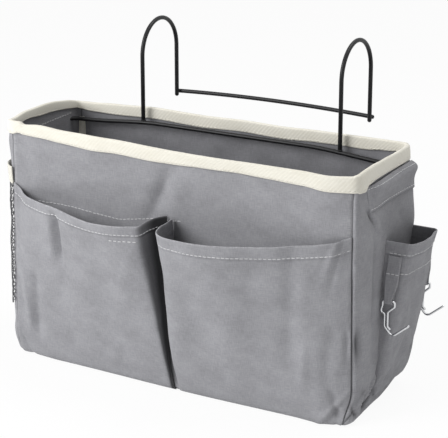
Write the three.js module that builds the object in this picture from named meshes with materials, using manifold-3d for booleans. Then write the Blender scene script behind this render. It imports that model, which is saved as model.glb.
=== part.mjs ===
// Bedside caddy: a soft canvas bag on a bent wire frame, with two hangers for a bed rail,
// two front pockets, a net pocket, and a cloth side pocket that carries two small hooks.
// Millimetres, +Z up. The front faces -Y. The origin is the centre of the base, on its underside.

import * as THREE from 'three';
import { mergeVertices } from 'three/addons/utils/BufferGeometryUtils.js';
import Module from 'manifold-3d';

const wasm = await Module();
wasm.setup();

// Driving dimensions of the bag
const bagWidth = 320;
const bagDepth = 111;
const bagHeight = 206;
const wallThick = 1.6;
const pocketThick = 1.2;
const seat = 0.3;
const overrun = 8;
const weldDistance = 1e-4;
const stepShare = 1e-3;

// How the walls swell past their seams and turn under at the foot
const seamInset = 2;
const rimSwell = 4;
const sideBulge = 2.8;
const rimCornerDepth = 5;
const frontCornerDepth = 20;
const rearCornerDepth = 5;
const swellTopDrop = 14;
const swellFullDrop = 66;
const footFlare = 2.5;
const flareTop = 150;
const footSwellHeight = 45;
const footRadius = 5;
const footSwellShare = 0.35;
const cornerShare = 0.26;
const seamTurnShare = 0.009;

// Rim: a folded binding, a little higher on the left where the cloth is not held down
const bindingThick = 1;
const bindingHeight = 11.5;
const leftRimLift = 5;
const rearRimDropShare = 1.1;
const rearRimStartShare = 0.1;

// Base board inside the bag, and the tapes over the upright inner seams
const boardThick = 2.4;
const boardInset = 3;
const boardCorner = 8;
const tapeWidth = 9;
const tapeThick = 0.8;
const tapeBottom = 12;
const tapeTurnShare = 0.42;

// Steel wire frame: a rear bar whose ends turn forwards into the side sleeves
const frameWire = 3.3;
const barDrop = 12;
const barSetback = 7.5;
const frameCorner = 12;
const armDrop = 17.5;
const armReach = 18;
const armDropLength = 88;
const slotLength = 11;
const slotHeight = 6.4;

// Hangers over the bed rail, with a crossbar behind their free legs
const hangerSpacingShare = 0.59375;
const hangerShift = 7;
const hangerSpan = 58.4;
const hangerRise = 58;
const hangerLegDrop = 44.5;
const crossbarLift = 1;
const crossbarBow = 2.5;
const crossbarOverhang = 2.6;

// Sleeves on the outside of the side walls
const sleeveHeight = 20.4;
const sleeveDrop = 13;
const sleeveFront = 30;
const sleeveRear = 51;
const sleeveEaseShare = 1.15;
const sleeveSkewPower = 2.8;

// Front pockets: how far the hems stand out, and where the hems lie
const hemDrop = 48;
const dividerX = 4;
const dividerGap = 4.5;
const leftBillow = 35;
const rightBillow = 37;
const leftHemDip = 11.5;
const rightHemDip = 12;
const pocketSeamInset = 0.6;
const pocketFootTurnShare = 0.46;
const billowPower = 1.08;
const pocketFootShares = [0, 0.02, 0.05];
const pocketRiseShare = 0.14;
// Each row: share of the way along the pocket, share of its billow, share of its hem dip
const leftHemShares = [
  [0, 0, 0], [0.06, 0.04, 0.35], [0.16, 0.3, 0.64], [0.28, 0.5, 0.75], [0.38, 0.66, 0.68], [0.52, 0.83, 0.88],
  [0.64, 0.94, 0.99], [0.75, 1, 0.9], [0.85, 0.98, 0.8], [0.915, 0.86, 0.76], [0.935, 0.56, 0.64],
  [0.955, 0.25, 0.58], [0.985, 0.06, 0.56], [1, 0, 0.56],
];
const rightHemShares = [
  [0, 0, 0.7], [0.008, 0.3, 0.7], [0.01, 0.62, 0.72], [0.03, 0.88, 0.9], [0.09, 0.99, 0.98], [0.19, 1, 1],
  [0.32, 0.97, 0.98], [0.5, 0.75, 0.9], [0.66, 0.5, 0.78], [0.8, 0.28, 0.6], [0.92, 0.12, 0.36],
  [0.97, 0.04, 0.16], [1, 0, 0],
];

// Net pocket on the left wall and the elastic band along its mouth
const netBottom = 46;
const netDrop = 50.4;
const netThick = 1.2;
const netPouch = 10.5;
const netEase = 0.8;
const netMouth = 8;
const netCornerColumns = 3;
const netFlatColumns = 6;
const netRows = 11;
const netHoleShare = 0.66;
const netReachShare = 0.95;
const netBellyShare = 0.35;
const netGatherShare = 0.6;
const netRoundPower = 1.4;
const elasticHeight = 16;
const elasticThick = 1.4;

// Cloth pocket on the right wall
const sidePocketBottom = 12;
const sidePocketDrop = 66;
const sidePocketFront = 3;
const sidePocketFootFront = -16;
const sidePocketRear = 50;
const sidePocketOut = 24;
const sidePocketFootOut = 1.2;
const sidePocketCorner = 6;
const sidePocketCornerShare = 0.8;
const sidePocketBow = 2;
const sidePocketEndShare = 0.3;
const sidePocketTurnShare = 0.6;
const sidePocketShares = [0, 0.15, 0.3, 0.4, 0.5, 0.6, 0.75, 0.9, 1];

// Straps under the side pocket's hem, and the wire hooks that hang in them
const strapCloth = 1;
const strapWidth = 12;
const strapGathered = 7.6;
const strapTopDrop = 11;
const strapJoinDrop = 19;
const strapCentre = 8.1;
const rearStrapShift = 4.3;
const eyeDrop = 16;
const rearEyeRise = -3.5;
const hookWire = 2;
const hookRun = 0.3;
const ringWidth = 10.4;
const ringDrop = 10.4;
const ringSide = 4;
const ringLean = 6.4;
const hookStem = 11.5;
const stemSpacing = 2.6;
const hookDepth = 29.7;
const hookReach = 20.6;
const tipRise = 11.4;
const innerWireReach = 4.6;
const innerTipLiftShare = 2.35;
const stemOffsetShare = 1.2;
const heelShare = 0.62;
const heelRiseShare = 0.4;
const toeShare = 1.45;
const tightBend = 1.5;
const easyBend = 4;

const halfWidth = bagWidth / 2 - seamInset;
const halfDepth = bagDepth / 2;
const footArc = footRadius * Math.PI / 2;
const wallFace = wallThick / 2;
const hangerSpacing = bagWidth * hangerSpacingShare;

// Heights that follow the bag's own height
const barHeight = bagHeight - barDrop;
const armHeight = bagHeight - armDrop;
const sleeveTop = bagHeight - sleeveDrop;
const hangerSpring = barHeight + hangerRise;
const hangerEnd = hangerSpring - hangerLegDrop;
const crossbarHeight = hangerEnd + crossbarLift;
const hemHeight = bagHeight - hemDrop;
const netTop = bagHeight - netDrop;
const sidePocketTop = bagHeight - sidePocketDrop;
const strapTop = sidePocketTop - strapTopDrop;
const strapJoin = strapTop - strapJoinDrop;
const eyeHeight = strapJoin - eyeDrop;

const materials = {
  canvas: new THREE.MeshStandardMaterial({ color: '#8f8f93', roughness: 0.9, metalness: 0 }),
  binding: new THREE.MeshStandardMaterial({ color: '#efece1', roughness: 0.85, metalness: 0 }),
  net: new THREE.MeshStandardMaterial({ color: '#3a3a3d', roughness: 0.9, metalness: 0 }),
  board: new THREE.MeshStandardMaterial({ color: '#6d6d70', roughness: 0.8, metalness: 0 }),
  paintedWire: new THREE.MeshStandardMaterial({ color: '#161617', roughness: 0.4, metalness: 0.3 }),
  chrome: new THREE.MeshStandardMaterial({ color: '#d9dadc', roughness: 0.12, metalness: 1 }),
};

const caddy = new THREE.Group();

function place(name, geometry, material) {
  const mesh = new THREE.Mesh(geometry, material);
  mesh.name = name;
  caddy.add(mesh);
  return mesh;
}

// Numbers and curves

function smooth(value, from, to) {
  const share = Math.min(Math.max((value - from) / (to - from), 0), 1);
  return share * share * (3 - 2 * share);
}

function mix(from, to, share) {
  return from + (to - from) * share;
}

function spread(from, to, count) {
  return Array.from({ length: count + 1 }, (_, index) => mix(from, to, index / count));
}

// A smooth run through rows of shares, read at a share from 0 to 1
function rowCurve(rows) {
  const points = rows.map((row) => new THREE.Vector3(...row));
  const curve = new THREE.CatmullRomCurve3(points, false, 'centripetal');
  return (share) => curve.getPoint(share);
}

// Closed solids from grids of points

function meshFrom(points, faces) {
  const geometry = new THREE.BufferGeometry();
  const numbers = points.flatMap((p) => [p.x, p.y, p.z]);
  const insideOut = enclosedVolume(points, faces) < 0;
  geometry.setAttribute('position', new THREE.Float32BufferAttribute(numbers, 3));
  geometry.setIndex(insideOut ? faces.map(([a, b, c]) => [a, c, b]).flat() : faces.flat());
  geometry.computeVertexNormals();
  return geometry;
}

function enclosedVolume(points, faces) {
  const cross = new THREE.Vector3();
  const sixfold = ([a, b, c]) => points[a].dot(cross.crossVectors(points[b], points[c]));
  return faces.reduce((sum, face) => sum + sixfold(face), 0) / 6;
}

function quad(a, b, c, d) {
  return [[a, b, c], [a, c, d]];
}

// The direction square to a surface, found from two short steps on it
function facing(surface, u, v) {
  const along = surface(Math.min(u + stepShare, 1), v).sub(surface(Math.max(u - stepShare, 0), v));
  const up = surface(u, Math.min(v + stepShare, 1)).sub(surface(u, Math.max(v - stepShare, 0)));
  return along.cross(up).normalize();
}

// A sheet of cloth: surface(u, v) is the middle of the cloth, and both faces lie half its thickness away
function clothSheet(surface, across, up, thick) {
  const points = [];
  for (const side of [thick / 2, -thick / 2]) {
    for (const v of up) {
      for (const u of across) {
        points.push(surface(u, v).addScaledVector(facing(surface, u, v), side));
      }
    }
  }
  const wide = across.length;
  const high = up.length;
  const right = wide - 1;
  const top = high - 1;
  const at = (side, i, j) => (side * high + j) * wide + i;
  const faces = [];
  for (let j = 0; j < top; j += 1) {
    for (let i = 0; i < right; i += 1) {
      faces.push(...quad(at(0, i, j), at(0, i + 1, j), at(0, i + 1, j + 1), at(0, i, j + 1)));
      faces.push(...quad(at(1, i, j), at(1, i, j + 1), at(1, i + 1, j + 1), at(1, i + 1, j)));
    }
  }
  for (let i = 0; i < right; i += 1) {
    faces.push(...quad(at(0, i, 0), at(1, i, 0), at(1, i + 1, 0), at(0, i + 1, 0)));
    faces.push(...quad(at(0, i, top), at(0, i + 1, top), at(1, i + 1, top), at(1, i, top)));
  }
  for (let j = 0; j < top; j += 1) {
    faces.push(...quad(at(0, 0, j), at(0, 0, j + 1), at(1, 0, j + 1), at(1, 0, j)));
    faces.push(...quad(at(0, right, j), at(1, right, j), at(1, right, j + 1), at(0, right, j + 1)));
  }
  return meshFrom(points, faces);
}

// A net: the same sheet with one four-sided hole in each cell
function netSheet(surface, across, up, holeShare, thick) {
  const points = [];
  const index = new Map();
  const vertex = (side, u, v) => {
    const key = `${side} ${u.toFixed(6)} ${v.toFixed(6)}`;
    if (!index.has(key)) {
      index.set(key, points.length);
      points.push(surface(u, v).addScaledVector(facing(surface, u, v), side * thick / 2));
    }
    return index.get(key);
  };
  const faces = [];
  for (let row = 0; row < up.length - 1; row += 1) {
    for (let column = 0; column < across.length - 1; column += 1) {
      const u = [across[column], across[column + 1]];
      const v = [up[row], up[row + 1]];
      const middle = [(u[0] + u[1]) / 2, (v[0] + v[1]) / 2];
      const outer = [[u[0], v[0]], [u[1], v[0]], [u[1], v[1]], [u[0], v[1]]];
      const inner = outer.map(([a, b]) => [mix(middle[0], a, holeShare), mix(middle[1], b, holeShare)]);
      for (let k = 0; k < 4; k += 1) {
        const next = (k + 1) % 4;
        const ring = [outer[k], outer[next], inner[next], inner[k]];
        faces.push(...quad(...ring.map(([a, b]) => vertex(1, a, b))));
        faces.push(...quad(...ring.map(([a, b]) => vertex(-1, a, b)).reverse()));
        const holeCorners = [[1, k], [1, next], [-1, next], [-1, k]];
        faces.push(...quad(...holeCorners.map(([side, corner]) => vertex(side, ...inner[corner]))));
      }
    }
  }
  const rim = (from, to) => faces.push(
    ...quad(vertex(1, ...to), vertex(1, ...from), vertex(-1, ...from), vertex(-1, ...to)));
  for (let column = 0; column < across.length - 1; column += 1) {
    rim([across[column], 0], [across[column + 1], 0]);
    rim([across[column + 1], 1], [across[column], 1]);
  }
  for (let row = 0; row < up.length - 1; row += 1) {
    rim([1, up[row]], [1, up[row + 1]]);
    rim([0, up[row + 1]], [0, up[row]]);
  }
  return meshFrom(points, faces);
}

// A closed section carried round a closed run of stations
function closedRing(stations, section) {
  const points = stations.flatMap(section);
  const count = section(stations[0]).length;
  const faces = [];
  for (let s = 0; s < stations.length; s += 1) {
    const next = (s + 1) % stations.length;
    for (let k = 0; k < count; k += 1) {
      const after = (k + 1) % count;
      faces.push(...quad(s * count + k, s * count + after, next * count + after, next * count + k));
    }
  }
  return meshFrom(points, faces);
}

// A round wire along a path
function wire(path, diameter, sides, steps) {
  const section = new THREE.Shape();
  for (let k = 0; k < sides; k += 1) {
    const angle = 2 * Math.PI * k / sides;
    const corner = [Math.cos(angle) * diameter / 2, Math.sin(angle) * diameter / 2];
    if (k === 0) {
      section.moveTo(...corner);
    } else {
      section.lineTo(...corner);
    }
  }
  section.closePath();
  return new THREE.ExtrudeGeometry(section, { steps, extrudePath: path, bevelEnabled: false });
}

// Straight runs joined by round bends: each row is a point and the radius of the bend there
function bentPath(rows) {
  const path = new THREE.CurvePath();
  let last = rows[0].point;
  for (let k = 1; k < rows.length - 1; k += 1) {
    const here = rows[k].point;
    const before = rows[k - 1].point.clone().sub(here).normalize();
    const after = rows[k + 1].point.clone().sub(here).normalize();
    const half = before.angleTo(after) / 2;
    const cutBack = rows[k].bend / Math.tan(half);
    const turned = Math.PI - 2 * half;
    const handle = rows[k].bend * 4 / 3 * Math.tan(turned / 4);
    const start = here.clone().addScaledVector(before, cutBack);
    const end = here.clone().addScaledVector(after, cutBack);
    const startHandle = start.clone().addScaledVector(before, -handle);
    const endHandle = end.clone().addScaledVector(after, -handle);
    path.add(new THREE.LineCurve3(last, start));
    path.add(new THREE.CubicBezierCurve3(start, startHandle, endHandle, end));
    last = end;
  }
  path.add(new THREE.LineCurve3(last, rows[rows.length - 1].point));
  return path;
}

// Cutting

function solidFrom(geometry) {
  const bare = geometry.clone();
  bare.deleteAttribute('normal');
  bare.deleteAttribute('uv');
  const merged = mergeVertices(bare, weldDistance);
  return new wasm.Manifold(new wasm.Mesh({
    numProp: 3,
    vertProperties: new Float32Array(merged.attributes.position.array),
    triVerts: new Uint32Array(merged.index.array),
  }));
}

function cutFrom(geometry, cutter) {
  const mesh = solidFrom(geometry).subtract(solidFrom(cutter)).getMesh();
  const result = new THREE.BufferGeometry();
  result.setAttribute('position', new THREE.Float32BufferAttribute(mesh.vertProperties, 3));
  result.setIndex(Array.from(mesh.triVerts));
  result.computeVertexNormals();
  return result;
}

// The bag's walls. A wall is named by its side, t runs along it from -1 to 1, and h is the
// length of cloth up from the foot, where the wall turns under.

function swellShare(z) {
  const upper = 1 - smooth(z, bagHeight - swellFullDrop, bagHeight - swellTopDrop);
  return upper * mix(footSwellShare, 1, smooth(z, 0, footSwellHeight));
}

function swellAt(z) {
  return rimSwell + sideBulge * swellShare(z);
}

// The walls stand a little further apart at the foot than at the rim
function flareAt(z) {
  return footFlare * (1 - smooth(z, 0, flareTop));
}

// The front corners of the side walls are softer than the rear ones, where the frame holds the cloth
function cornerDepthAt(z, end) {
  return rimCornerDepth + (end < 0 ? frontCornerDepth : rearCornerDepth) * swellShare(z);
}

// Plan of a wall at one height: the place and the direction that faces out
function planPoint(side, t, z, inset) {
  const wide = halfWidth + flareAt(z) - inset;
  const deep = halfDepth - inset;
  if (side === 'front' || side === 'back') {
    const facingY = side === 'front' ? -1 : 1;
    return { x: t * wide, y: facingY * deep, nx: 0, ny: facingY };
  }
  const out = side === 'right' ? 1 : -1;
  const swell = swellAt(z);
  const corner = cornerDepthAt(z, t);
  const fromEnd = 1 - Math.abs(t);
  if (fromEnd < cornerShare) {
    const turn = fromEnd / cornerShare * Math.PI / 2;
    const normal = new THREE.Vector2(Math.sin(turn) / swell, Math.cos(turn) / corner).normalize();
    const y = deep - corner * (1 - Math.cos(turn));
    const x = wide + swell * Math.sin(turn);
    const end = Math.sign(t);
    return { x: out * x, y: end * y, nx: out * normal.x, ny: end * normal.y };
  }
  const run = (t / (1 - cornerShare) + 1) / 2;
  const y = mix(-deep + cornerDepthAt(z, -1), deep - cornerDepthAt(z, 1), run);
  return { x: out * (wide + swell), y, nx: out, ny: 0 };
}

// Where the middle of a side wall's cloth stands at a height
function sideWallX(z) {
  return planPoint('right', 0, z, 0).x;
}

function wallPoint(side, t, h, out = 0) {
  const turn = Math.min(h / footArc, 1) * Math.PI / 2;
  const inset = footRadius * (1 - Math.sin(turn));
  const z = wallFace + (h < footArc ? footRadius * (1 - Math.cos(turn)) : footRadius + h - footArc);
  const plan = planPoint(side, t, z, inset);
  const level = out * Math.sin(turn);
  return new THREE.Vector3(plan.x + plan.nx * level, plan.y + plan.ny * level, z - out * Math.cos(turn));
}

// The length of cloth from the foot to a height above it
function clothTo(z) {
  return z - wallFace - footRadius + footArc;
}

// How far along a side wall, from -1 to 1, a depth lies at a height
function alongSide(y, z) {
  const corner = cornerDepthAt(z, y);
  const fromEnd = halfDepth - Math.abs(y);
  if (fromEnd >= corner) {
    const front = -halfDepth + cornerDepthAt(z, -1);
    const rear = halfDepth - cornerDepthAt(z, 1);
    return (2 * (y - front) / (rear - front) - 1) * (1 - cornerShare);
  }
  const turn = Math.acos(Math.min(1 - fromEnd / corner, 1));
  return Math.sign(y) * (1 - turn / (Math.PI / 2) * cornerShare);
}

function rimAt(x, y) {
  const towardsLeft = Math.max(0, -x / halfWidth);
  const towardsRear = smooth(y / halfDepth, rearRimStartShare, 1);
  return bagHeight + leftRimLift * towardsLeft * (1 - rearRimDropShare * towardsRear);
}

// Runs of t with close steps round the corners
const cornerRun = spread(-1 + seamTurnShare, -1 + cornerShare, 5);
const sideRun = [...cornerRun, ...spread(-1 + cornerShare, 1 - cornerShare, 6).slice(1, -1),
  ...cornerRun.map((t) => -t).reverse()];
const footRun = spread(0, footArc, 3);

function wallPanel(side, run) {
  const surface = (u, v) => {
    const t = 2 * u - 1;
    const top = planPoint(side, t, bagHeight, 0);
    const full = clothTo(rimAt(top.x, top.y) - bindingThick - seat);
    return wallPoint(side, t, v * full);
  };
  const full = clothTo(bagHeight - bindingThick - seat);
  const up = [...footRun, ...spread(footArc, full, 10).slice(1)].map((h) => h / full);
  return clothSheet(surface, run.map((t) => (t + 1) / 2), up, wallThick);
}

// The ends of neighbouring panels keep the seat clearance: each panel stops half of it short
const seamShare = seat / 2 / halfWidth;

function makeBody() {
  const flatRun = spread(-1 + seamShare, 1 - seamShare, 10);
  place('front_panel', wallPanel('front', flatRun), materials.canvas);
  place('back_panel', wallPanel('back', flatRun), materials.canvas);
  const slot = new THREE.BoxGeometry(wallThick + 2 * overrun, slotLength, slotHeight);
  for (const [side, out] of [['left', -1], ['right', 1]]) {
    const opening = slot.clone().translate(out * armWallX, frameCrossingY, armHeight);
    place(`${side}_panel`, cutFrom(wallPanel(side, sideRun), opening), materials.canvas);
  }
  place('bottom_panel', makeBottom(), materials.canvas);
  place('base_board', makeBoard(), materials.board);
}

// The flat base is the foot's outline, drawn in by the seat clearance
function makeBottom() {
  const outline = new THREE.Shape();
  baseStations().forEach(({ x, y, nx, ny }, index) => {
    const corner = [x - nx * seat, y - ny * seat];
    if (index === 0) {
      outline.moveTo(...corner);
    } else {
      outline.lineTo(...corner);
    }
  });
  outline.closePath();
  return new THREE.ExtrudeGeometry(outline, { depth: wallThick, bevelEnabled: false });
}

function loopStations(z, inset, flatSteps) {
  const stations = [];
  for (const side of ['front', 'right', 'back', 'left']) {
    const run = side === 'front' || side === 'back' ? spread(-1, 1, flatSteps) : sideRun;
    const forwards = side === 'front' || side === 'right';
    for (const t of forwards ? run.slice(0, -1) : [...run].reverse().slice(0, -1)) {
      stations.push(planPoint(side, t, z, inset));
    }
  }
  return stations;
}

function baseStations() {
  return loopStations(wallFace, footRadius, 2);
}

function makeBoard() {
  const wide = halfWidth - footRadius - boardInset;
  const deep = halfDepth - footRadius - boardInset;
  const outline = new THREE.Shape();
  outline.moveTo(-wide + boardCorner, -deep);
  outline.lineTo(wide - boardCorner, -deep);
  outline.absarc(wide - boardCorner, -deep + boardCorner, boardCorner, -Math.PI / 2, 0);
  outline.lineTo(wide, deep - boardCorner);
  outline.absarc(wide - boardCorner, deep - boardCorner, boardCorner, 0, Math.PI / 2);
  outline.lineTo(-wide + boardCorner, deep);
  outline.absarc(-wide + boardCorner, deep - boardCorner, boardCorner, Math.PI / 2, Math.PI);
  outline.lineTo(-wide, -deep + boardCorner);
  outline.absarc(-wide + boardCorner, -deep + boardCorner, boardCorner, Math.PI, Math.PI * 3 / 2);
  const options = { depth: boardThick, bevelEnabled: false, curveSegments: 5 };
  return new THREE.ExtrudeGeometry(outline, options).translate(0, 0, wallThick + seat);
}

// The binding is folded over the walls' top edges: a U in section, all the way round
function makeBinding() {
  const inner = wallFace + seat;
  const outer = inner + bindingThick;
  const section = ({ x, y, nx, ny }) => {
    const rim = rimAt(x, y);
    const roof = rim - bindingThick;
    const foot = rim - bindingHeight;
    const shoulder = [outer * Math.SQRT1_2, rim - bindingThick * (1 - Math.SQRT1_2)];
    return [
      [outer, foot], [outer, roof], shoulder, [0, rim], [-shoulder[0], shoulder[1]], [-outer, roof],
      [-outer, foot], [-inner, foot], [-inner, roof], [inner, roof], [inner, foot],
    ].map(([away, z]) => new THREE.Vector3(x + nx * away, y + ny * away, z));
  };
  return closedRing(loopStations(bagHeight, 0, 14), section);
}

// Tapes cover the upright inner seams: each is bent round its corner, from above the foot to the binding
function makeTapes() {
  const away = wallFace + seat + tapeThick / 2;
  for (const [end, front] of [['front', true], ['rear', false]]) {
    for (const [side, out] of [['left', -1], ['right', 1]]) {
      const surface = (u, v) => {
        const z = mix(tapeBottom, bagHeight - bindingHeight - seat - leftRimLift, v);
        const flat = tapeWidth / 2 / halfWidth;
        const t = front ? -1 : 1;
        if (u < 1 / 2) {
          return wallPoint(front ? 'front' : 'back', out * (1 - (1 - 2 * u) * flat), clothTo(z), -away);
        }
        return wallPoint(side, t * (1 - (2 * u - 1) * cornerShare * tapeTurnShare), clothTo(z), -away);
      };
      place(`${end}_${side}_seam_tape`, clothSheet(surface, spread(0, 1, 4), spread(0, 1, 7), tapeThick),
        materials.binding);
    }
  }
}

// The frame. Its plan is a U: the rear bar, two round corners and two arms that run forwards.

const barY = halfDepth - barSetback;
const armWallX = sideWallX(armHeight - frameWire / 2);
const armX = armWallX + wallFace + seat + frameWire / 2;
const cornerX = armX - frameCorner;
const cornerY = barY - frameCorner;
const crossingTurn = Math.acos((armWallX - cornerX) / frameCorner);
const frameCrossingY = cornerY + frameCorner * Math.sin(crossingTurn);
const frameArc = frameCorner * Math.PI / 2;
const frameCrossingRun = cornerX + frameArc - frameCorner * crossingTurn - slotLength / 2;

// Height of the frame's wire, by its length of wire from the middle of the bar
function frameHeightAt(run) {
  return mix(barHeight, armHeight, smooth(run, frameCrossingRun - armDropLength, frameCrossingRun));
}

class FramePath extends THREE.Curve {
  getPoint(share) {
    const half = cornerX + frameArc + cornerY + armReach;
    const along = (2 * share - 1) * half;
    const side = Math.sign(along) || 1;
    const run = Math.abs(along);
    const z = frameHeightAt(run);
    if (run < cornerX) {
      return new THREE.Vector3(side * run, barY, z);
    }
    const turn = Math.min((run - cornerX) / frameCorner, Math.PI / 2);
    const onwards = Math.max(run - cornerX - frameArc, 0);
    return new THREE.Vector3(
      side * (cornerX + frameCorner * Math.sin(turn)), cornerY + frameCorner * Math.cos(turn) - onwards, z);
  }
}

function makeFrame() {
  place('frame_wire', wire(new FramePath(), frameWire, 8, 104), materials.paintedWire);
  for (const [side, out] of [['left', -1], ['right', 1]]) {
    const x = hangerShift + out * hangerSpacing / 2;
    const path = new THREE.CurvePath();
    const radius = hangerSpan / 2;
    const legFoot = frameHeightAt(Math.abs(x)) + frameWire / 2 + seat;
    const at = (y, z) => new THREE.Vector3(x, y, z);
    path.add(new THREE.LineCurve3(at(barY, legFoot), at(barY, hangerSpring)));
    path.add(new RailArch(x, barY + radius, hangerSpring, radius));
    path.add(new THREE.LineCurve3(at(barY + hangerSpan, hangerSpring), at(barY + hangerSpan, hangerEnd)));
    place(`${side}_hanger`, wire(path, frameWire, 8, 44), materials.paintedWire);
  }
  place('crossbar', wire(new CrossbarPath(), frameWire, 8, 10), materials.paintedWire);
}

class RailArch extends THREE.Curve {
  constructor(x, y, z, radius) {
    super();
    this.centre = new THREE.Vector3(x, y, z);
    this.radius = radius;
  }

  getPoint(share) {
    const angle = Math.PI * (1 - share);
    const offset = new THREE.Vector3(0, Math.cos(angle) * this.radius, Math.sin(angle) * this.radius);
    return offset.add(this.centre);
  }
}

class CrossbarPath extends THREE.Curve {
  getPoint(share) {
    const reach = hangerSpacing / 2 + crossbarOverhang;
    const along = 2 * share - 1;
    return new THREE.Vector3(hangerShift + along * reach, barY + hangerSpan + frameWire + seat,
      crossbarHeight + crossbarBow * (1 - along * along));
  }
}

// A sleeve is a strip sewn to the wall along its top and bottom. It stands out most near its top, where
// the frame's arm carries it.
function makeSleeves() {
  const rest = wallFace + seat + pocketThick / 2;
  const arch = frameWire + seat;
  for (const side of ['left', 'right']) {
    const surface = (u, v) => {
      const z = sleeveTop - sleeveHeight + sleeveHeight * v;
      const y = mix(-sleeveFront, sleeveRear, u);
      const bump = Math.sin(Math.PI * v ** sleeveSkewPower);
      return wallPoint(side, alongSide(y, z), clothTo(z), rest + arch * sleeveEaseShare * bump);
    };
    const sleeve = clothSheet(surface, spread(0, 1, 8), spread(0, 1, 10), pocketThick);
    place(`${side}_sleeve`, sleeve, materials.canvas);
  }
}

// Front pockets. Each lies on the front wall at its foot and stands out at its hem. Where the two
// meet, both turn back to the wall, so that their mouths can open.
function frontPocket(rows, fromX, toX, billow, dip) {
  const row = rowCurve(rows);
  const rest = wallFace + seat + pocketThick / 2;
  const footStart = footArc * pocketFootTurnShare;
  return (u, v) => {
    const here = row(u);
    const full = clothTo(hemHeight - dip * here.z);
    const h = mix(footStart, full, v);
    const x = mix(fromX, toX, here.x);
    return wallPoint('front', x / halfWidth, h, rest + billow * here.y * v ** billowPower);
  };
}

function makeFrontPockets() {
  const seam = halfWidth - pocketSeamInset;
  const left = frontPocket(leftHemShares, -seam, dividerX - dividerGap / 2, leftBillow, leftHemDip);
  const right = frontPocket(rightHemShares, dividerX + dividerGap / 2, seam, rightBillow, rightHemDip);
  const across = spread(0, 1, 26);
  const up = [...pocketFootShares, ...spread(pocketRiseShare, 1, 7)];
  place('left_front_pocket', clothSheet(left, across, up, pocketThick), materials.canvas);
  place('right_front_pocket', clothSheet(right, across, up, pocketThick), materials.canvas);
}

// Net pocket: it bellies out from the left wall and is gathered at its mouth by the elastic band
function netOut(t, z, thick) {
  const rest = wallFace + seat + thick / 2 + netEase;
  const level = (z - netBottom) / (netTop - netBottom);
  const belly = level < 1 ? mix(0, netPouch, smooth(level, 0, netBellyShare)) : netMouth;
  const mouth = mix(belly, netMouth, smooth(level, netGatherShare, 1));
  return rest + mouth * (1 - (t / netReachShare) ** 2) ** netRoundPower;
}

function makeNetPocket() {
  const net = (u, v) => {
    const z = mix(netBottom, netTop, v);
    const t = mix(-netReachShare, netReachShare, u);
    return wallPoint('left', t, clothTo(z), netOut(t, z, netThick));
  };
  const band = (u, v) => {
    const z = netTop + seat + elasticHeight * v;
    const t = mix(-netReachShare, netReachShare, u);
    return wallPoint('left', t, clothTo(z), netOut(t, netTop, elasticThick));
  };
  const corner = (1 - (1 - cornerShare) / netReachShare) / 2;
  const flat = spread(corner, 1 - corner, netFlatColumns).slice(1, -1);
  const near = spread(0, corner, netCornerColumns);
  const far = spread(1 - corner, 1, netCornerColumns);
  const columns = [...near, ...flat, ...far];
  place('net_pocket', netSheet(net, columns, spread(0, 1, netRows), netHoleShare, netThick), materials.net);
  place('net_elastic', clothSheet(band, columns, spread(0, 1, 3), elasticThick), materials.binding);
}

// Side pocket: two ends stand square to the wall and a face joins them, all tapering to the foot

const sidePocketSlope = (sidePocketFront - sidePocketFootFront) / (sidePocketTop - sidePocketBottom);

function sidePocketFace(z) {
  const share = (z - sidePocketBottom) / (sidePocketTop - sidePocketBottom);
  return sideWallX(z) + wallFace + seat + mix(sidePocketFootOut, sidePocketOut, share);
}

function sidePocketFrontAt(z) {
  return sidePocketFront - (sidePocketTop - z) * sidePocketSlope;
}

function sidePocketSurface(u, v) {
  const z = mix(sidePocketBottom, sidePocketTop, v);
  const face = sidePocketFace(z);
  const bend = Math.min(sidePocketCorner, (face - sideWallX(z) - wallFace - seat) * sidePocketCornerShare);
  const fromFront = u < 1 / 2;
  const run = fromFront ? 2 * u : 2 - 2 * u;
  const end = fromFront ? sidePocketFrontAt(z) : sidePocketRear;
  const inwards = fromFront ? 1 : -1;
  const middle = (sidePocketFrontAt(z) + sidePocketRear) / 2;
  const start = planPoint('right', alongSide(end, z), z, 0).x + wallFace + seat;
  if (run < sidePocketEndShare) {
    return new THREE.Vector3(mix(start, face - bend, run / sidePocketEndShare), end, z);
  }
  if (run < sidePocketTurnShare) {
    const turn = (run - sidePocketEndShare) / (sidePocketTurnShare - sidePocketEndShare) * Math.PI / 2;
    return new THREE.Vector3(
      face - bend + bend * Math.sin(turn), end + inwards * bend * (1 - Math.cos(turn)), z);
  }
  const along = (run - sidePocketTurnShare) / (1 - sidePocketTurnShare);
  const y = mix(end + inwards * bend, middle, along);
  return new THREE.Vector3(face + sidePocketBow * v * Math.sin(along * Math.PI / 2), y, z);
}

function makeSidePocket() {
  const across = [...sidePocketShares.map((run) => run / 2),
    ...sidePocketShares.slice(0, -1).reverse().map((run) => 1 - run / 2)];
  const pocket = clothSheet(sidePocketSurface, across, spread(0, 1, 10), pocketThick);
  place('side_pocket', pocket, materials.canvas);
}

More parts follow.
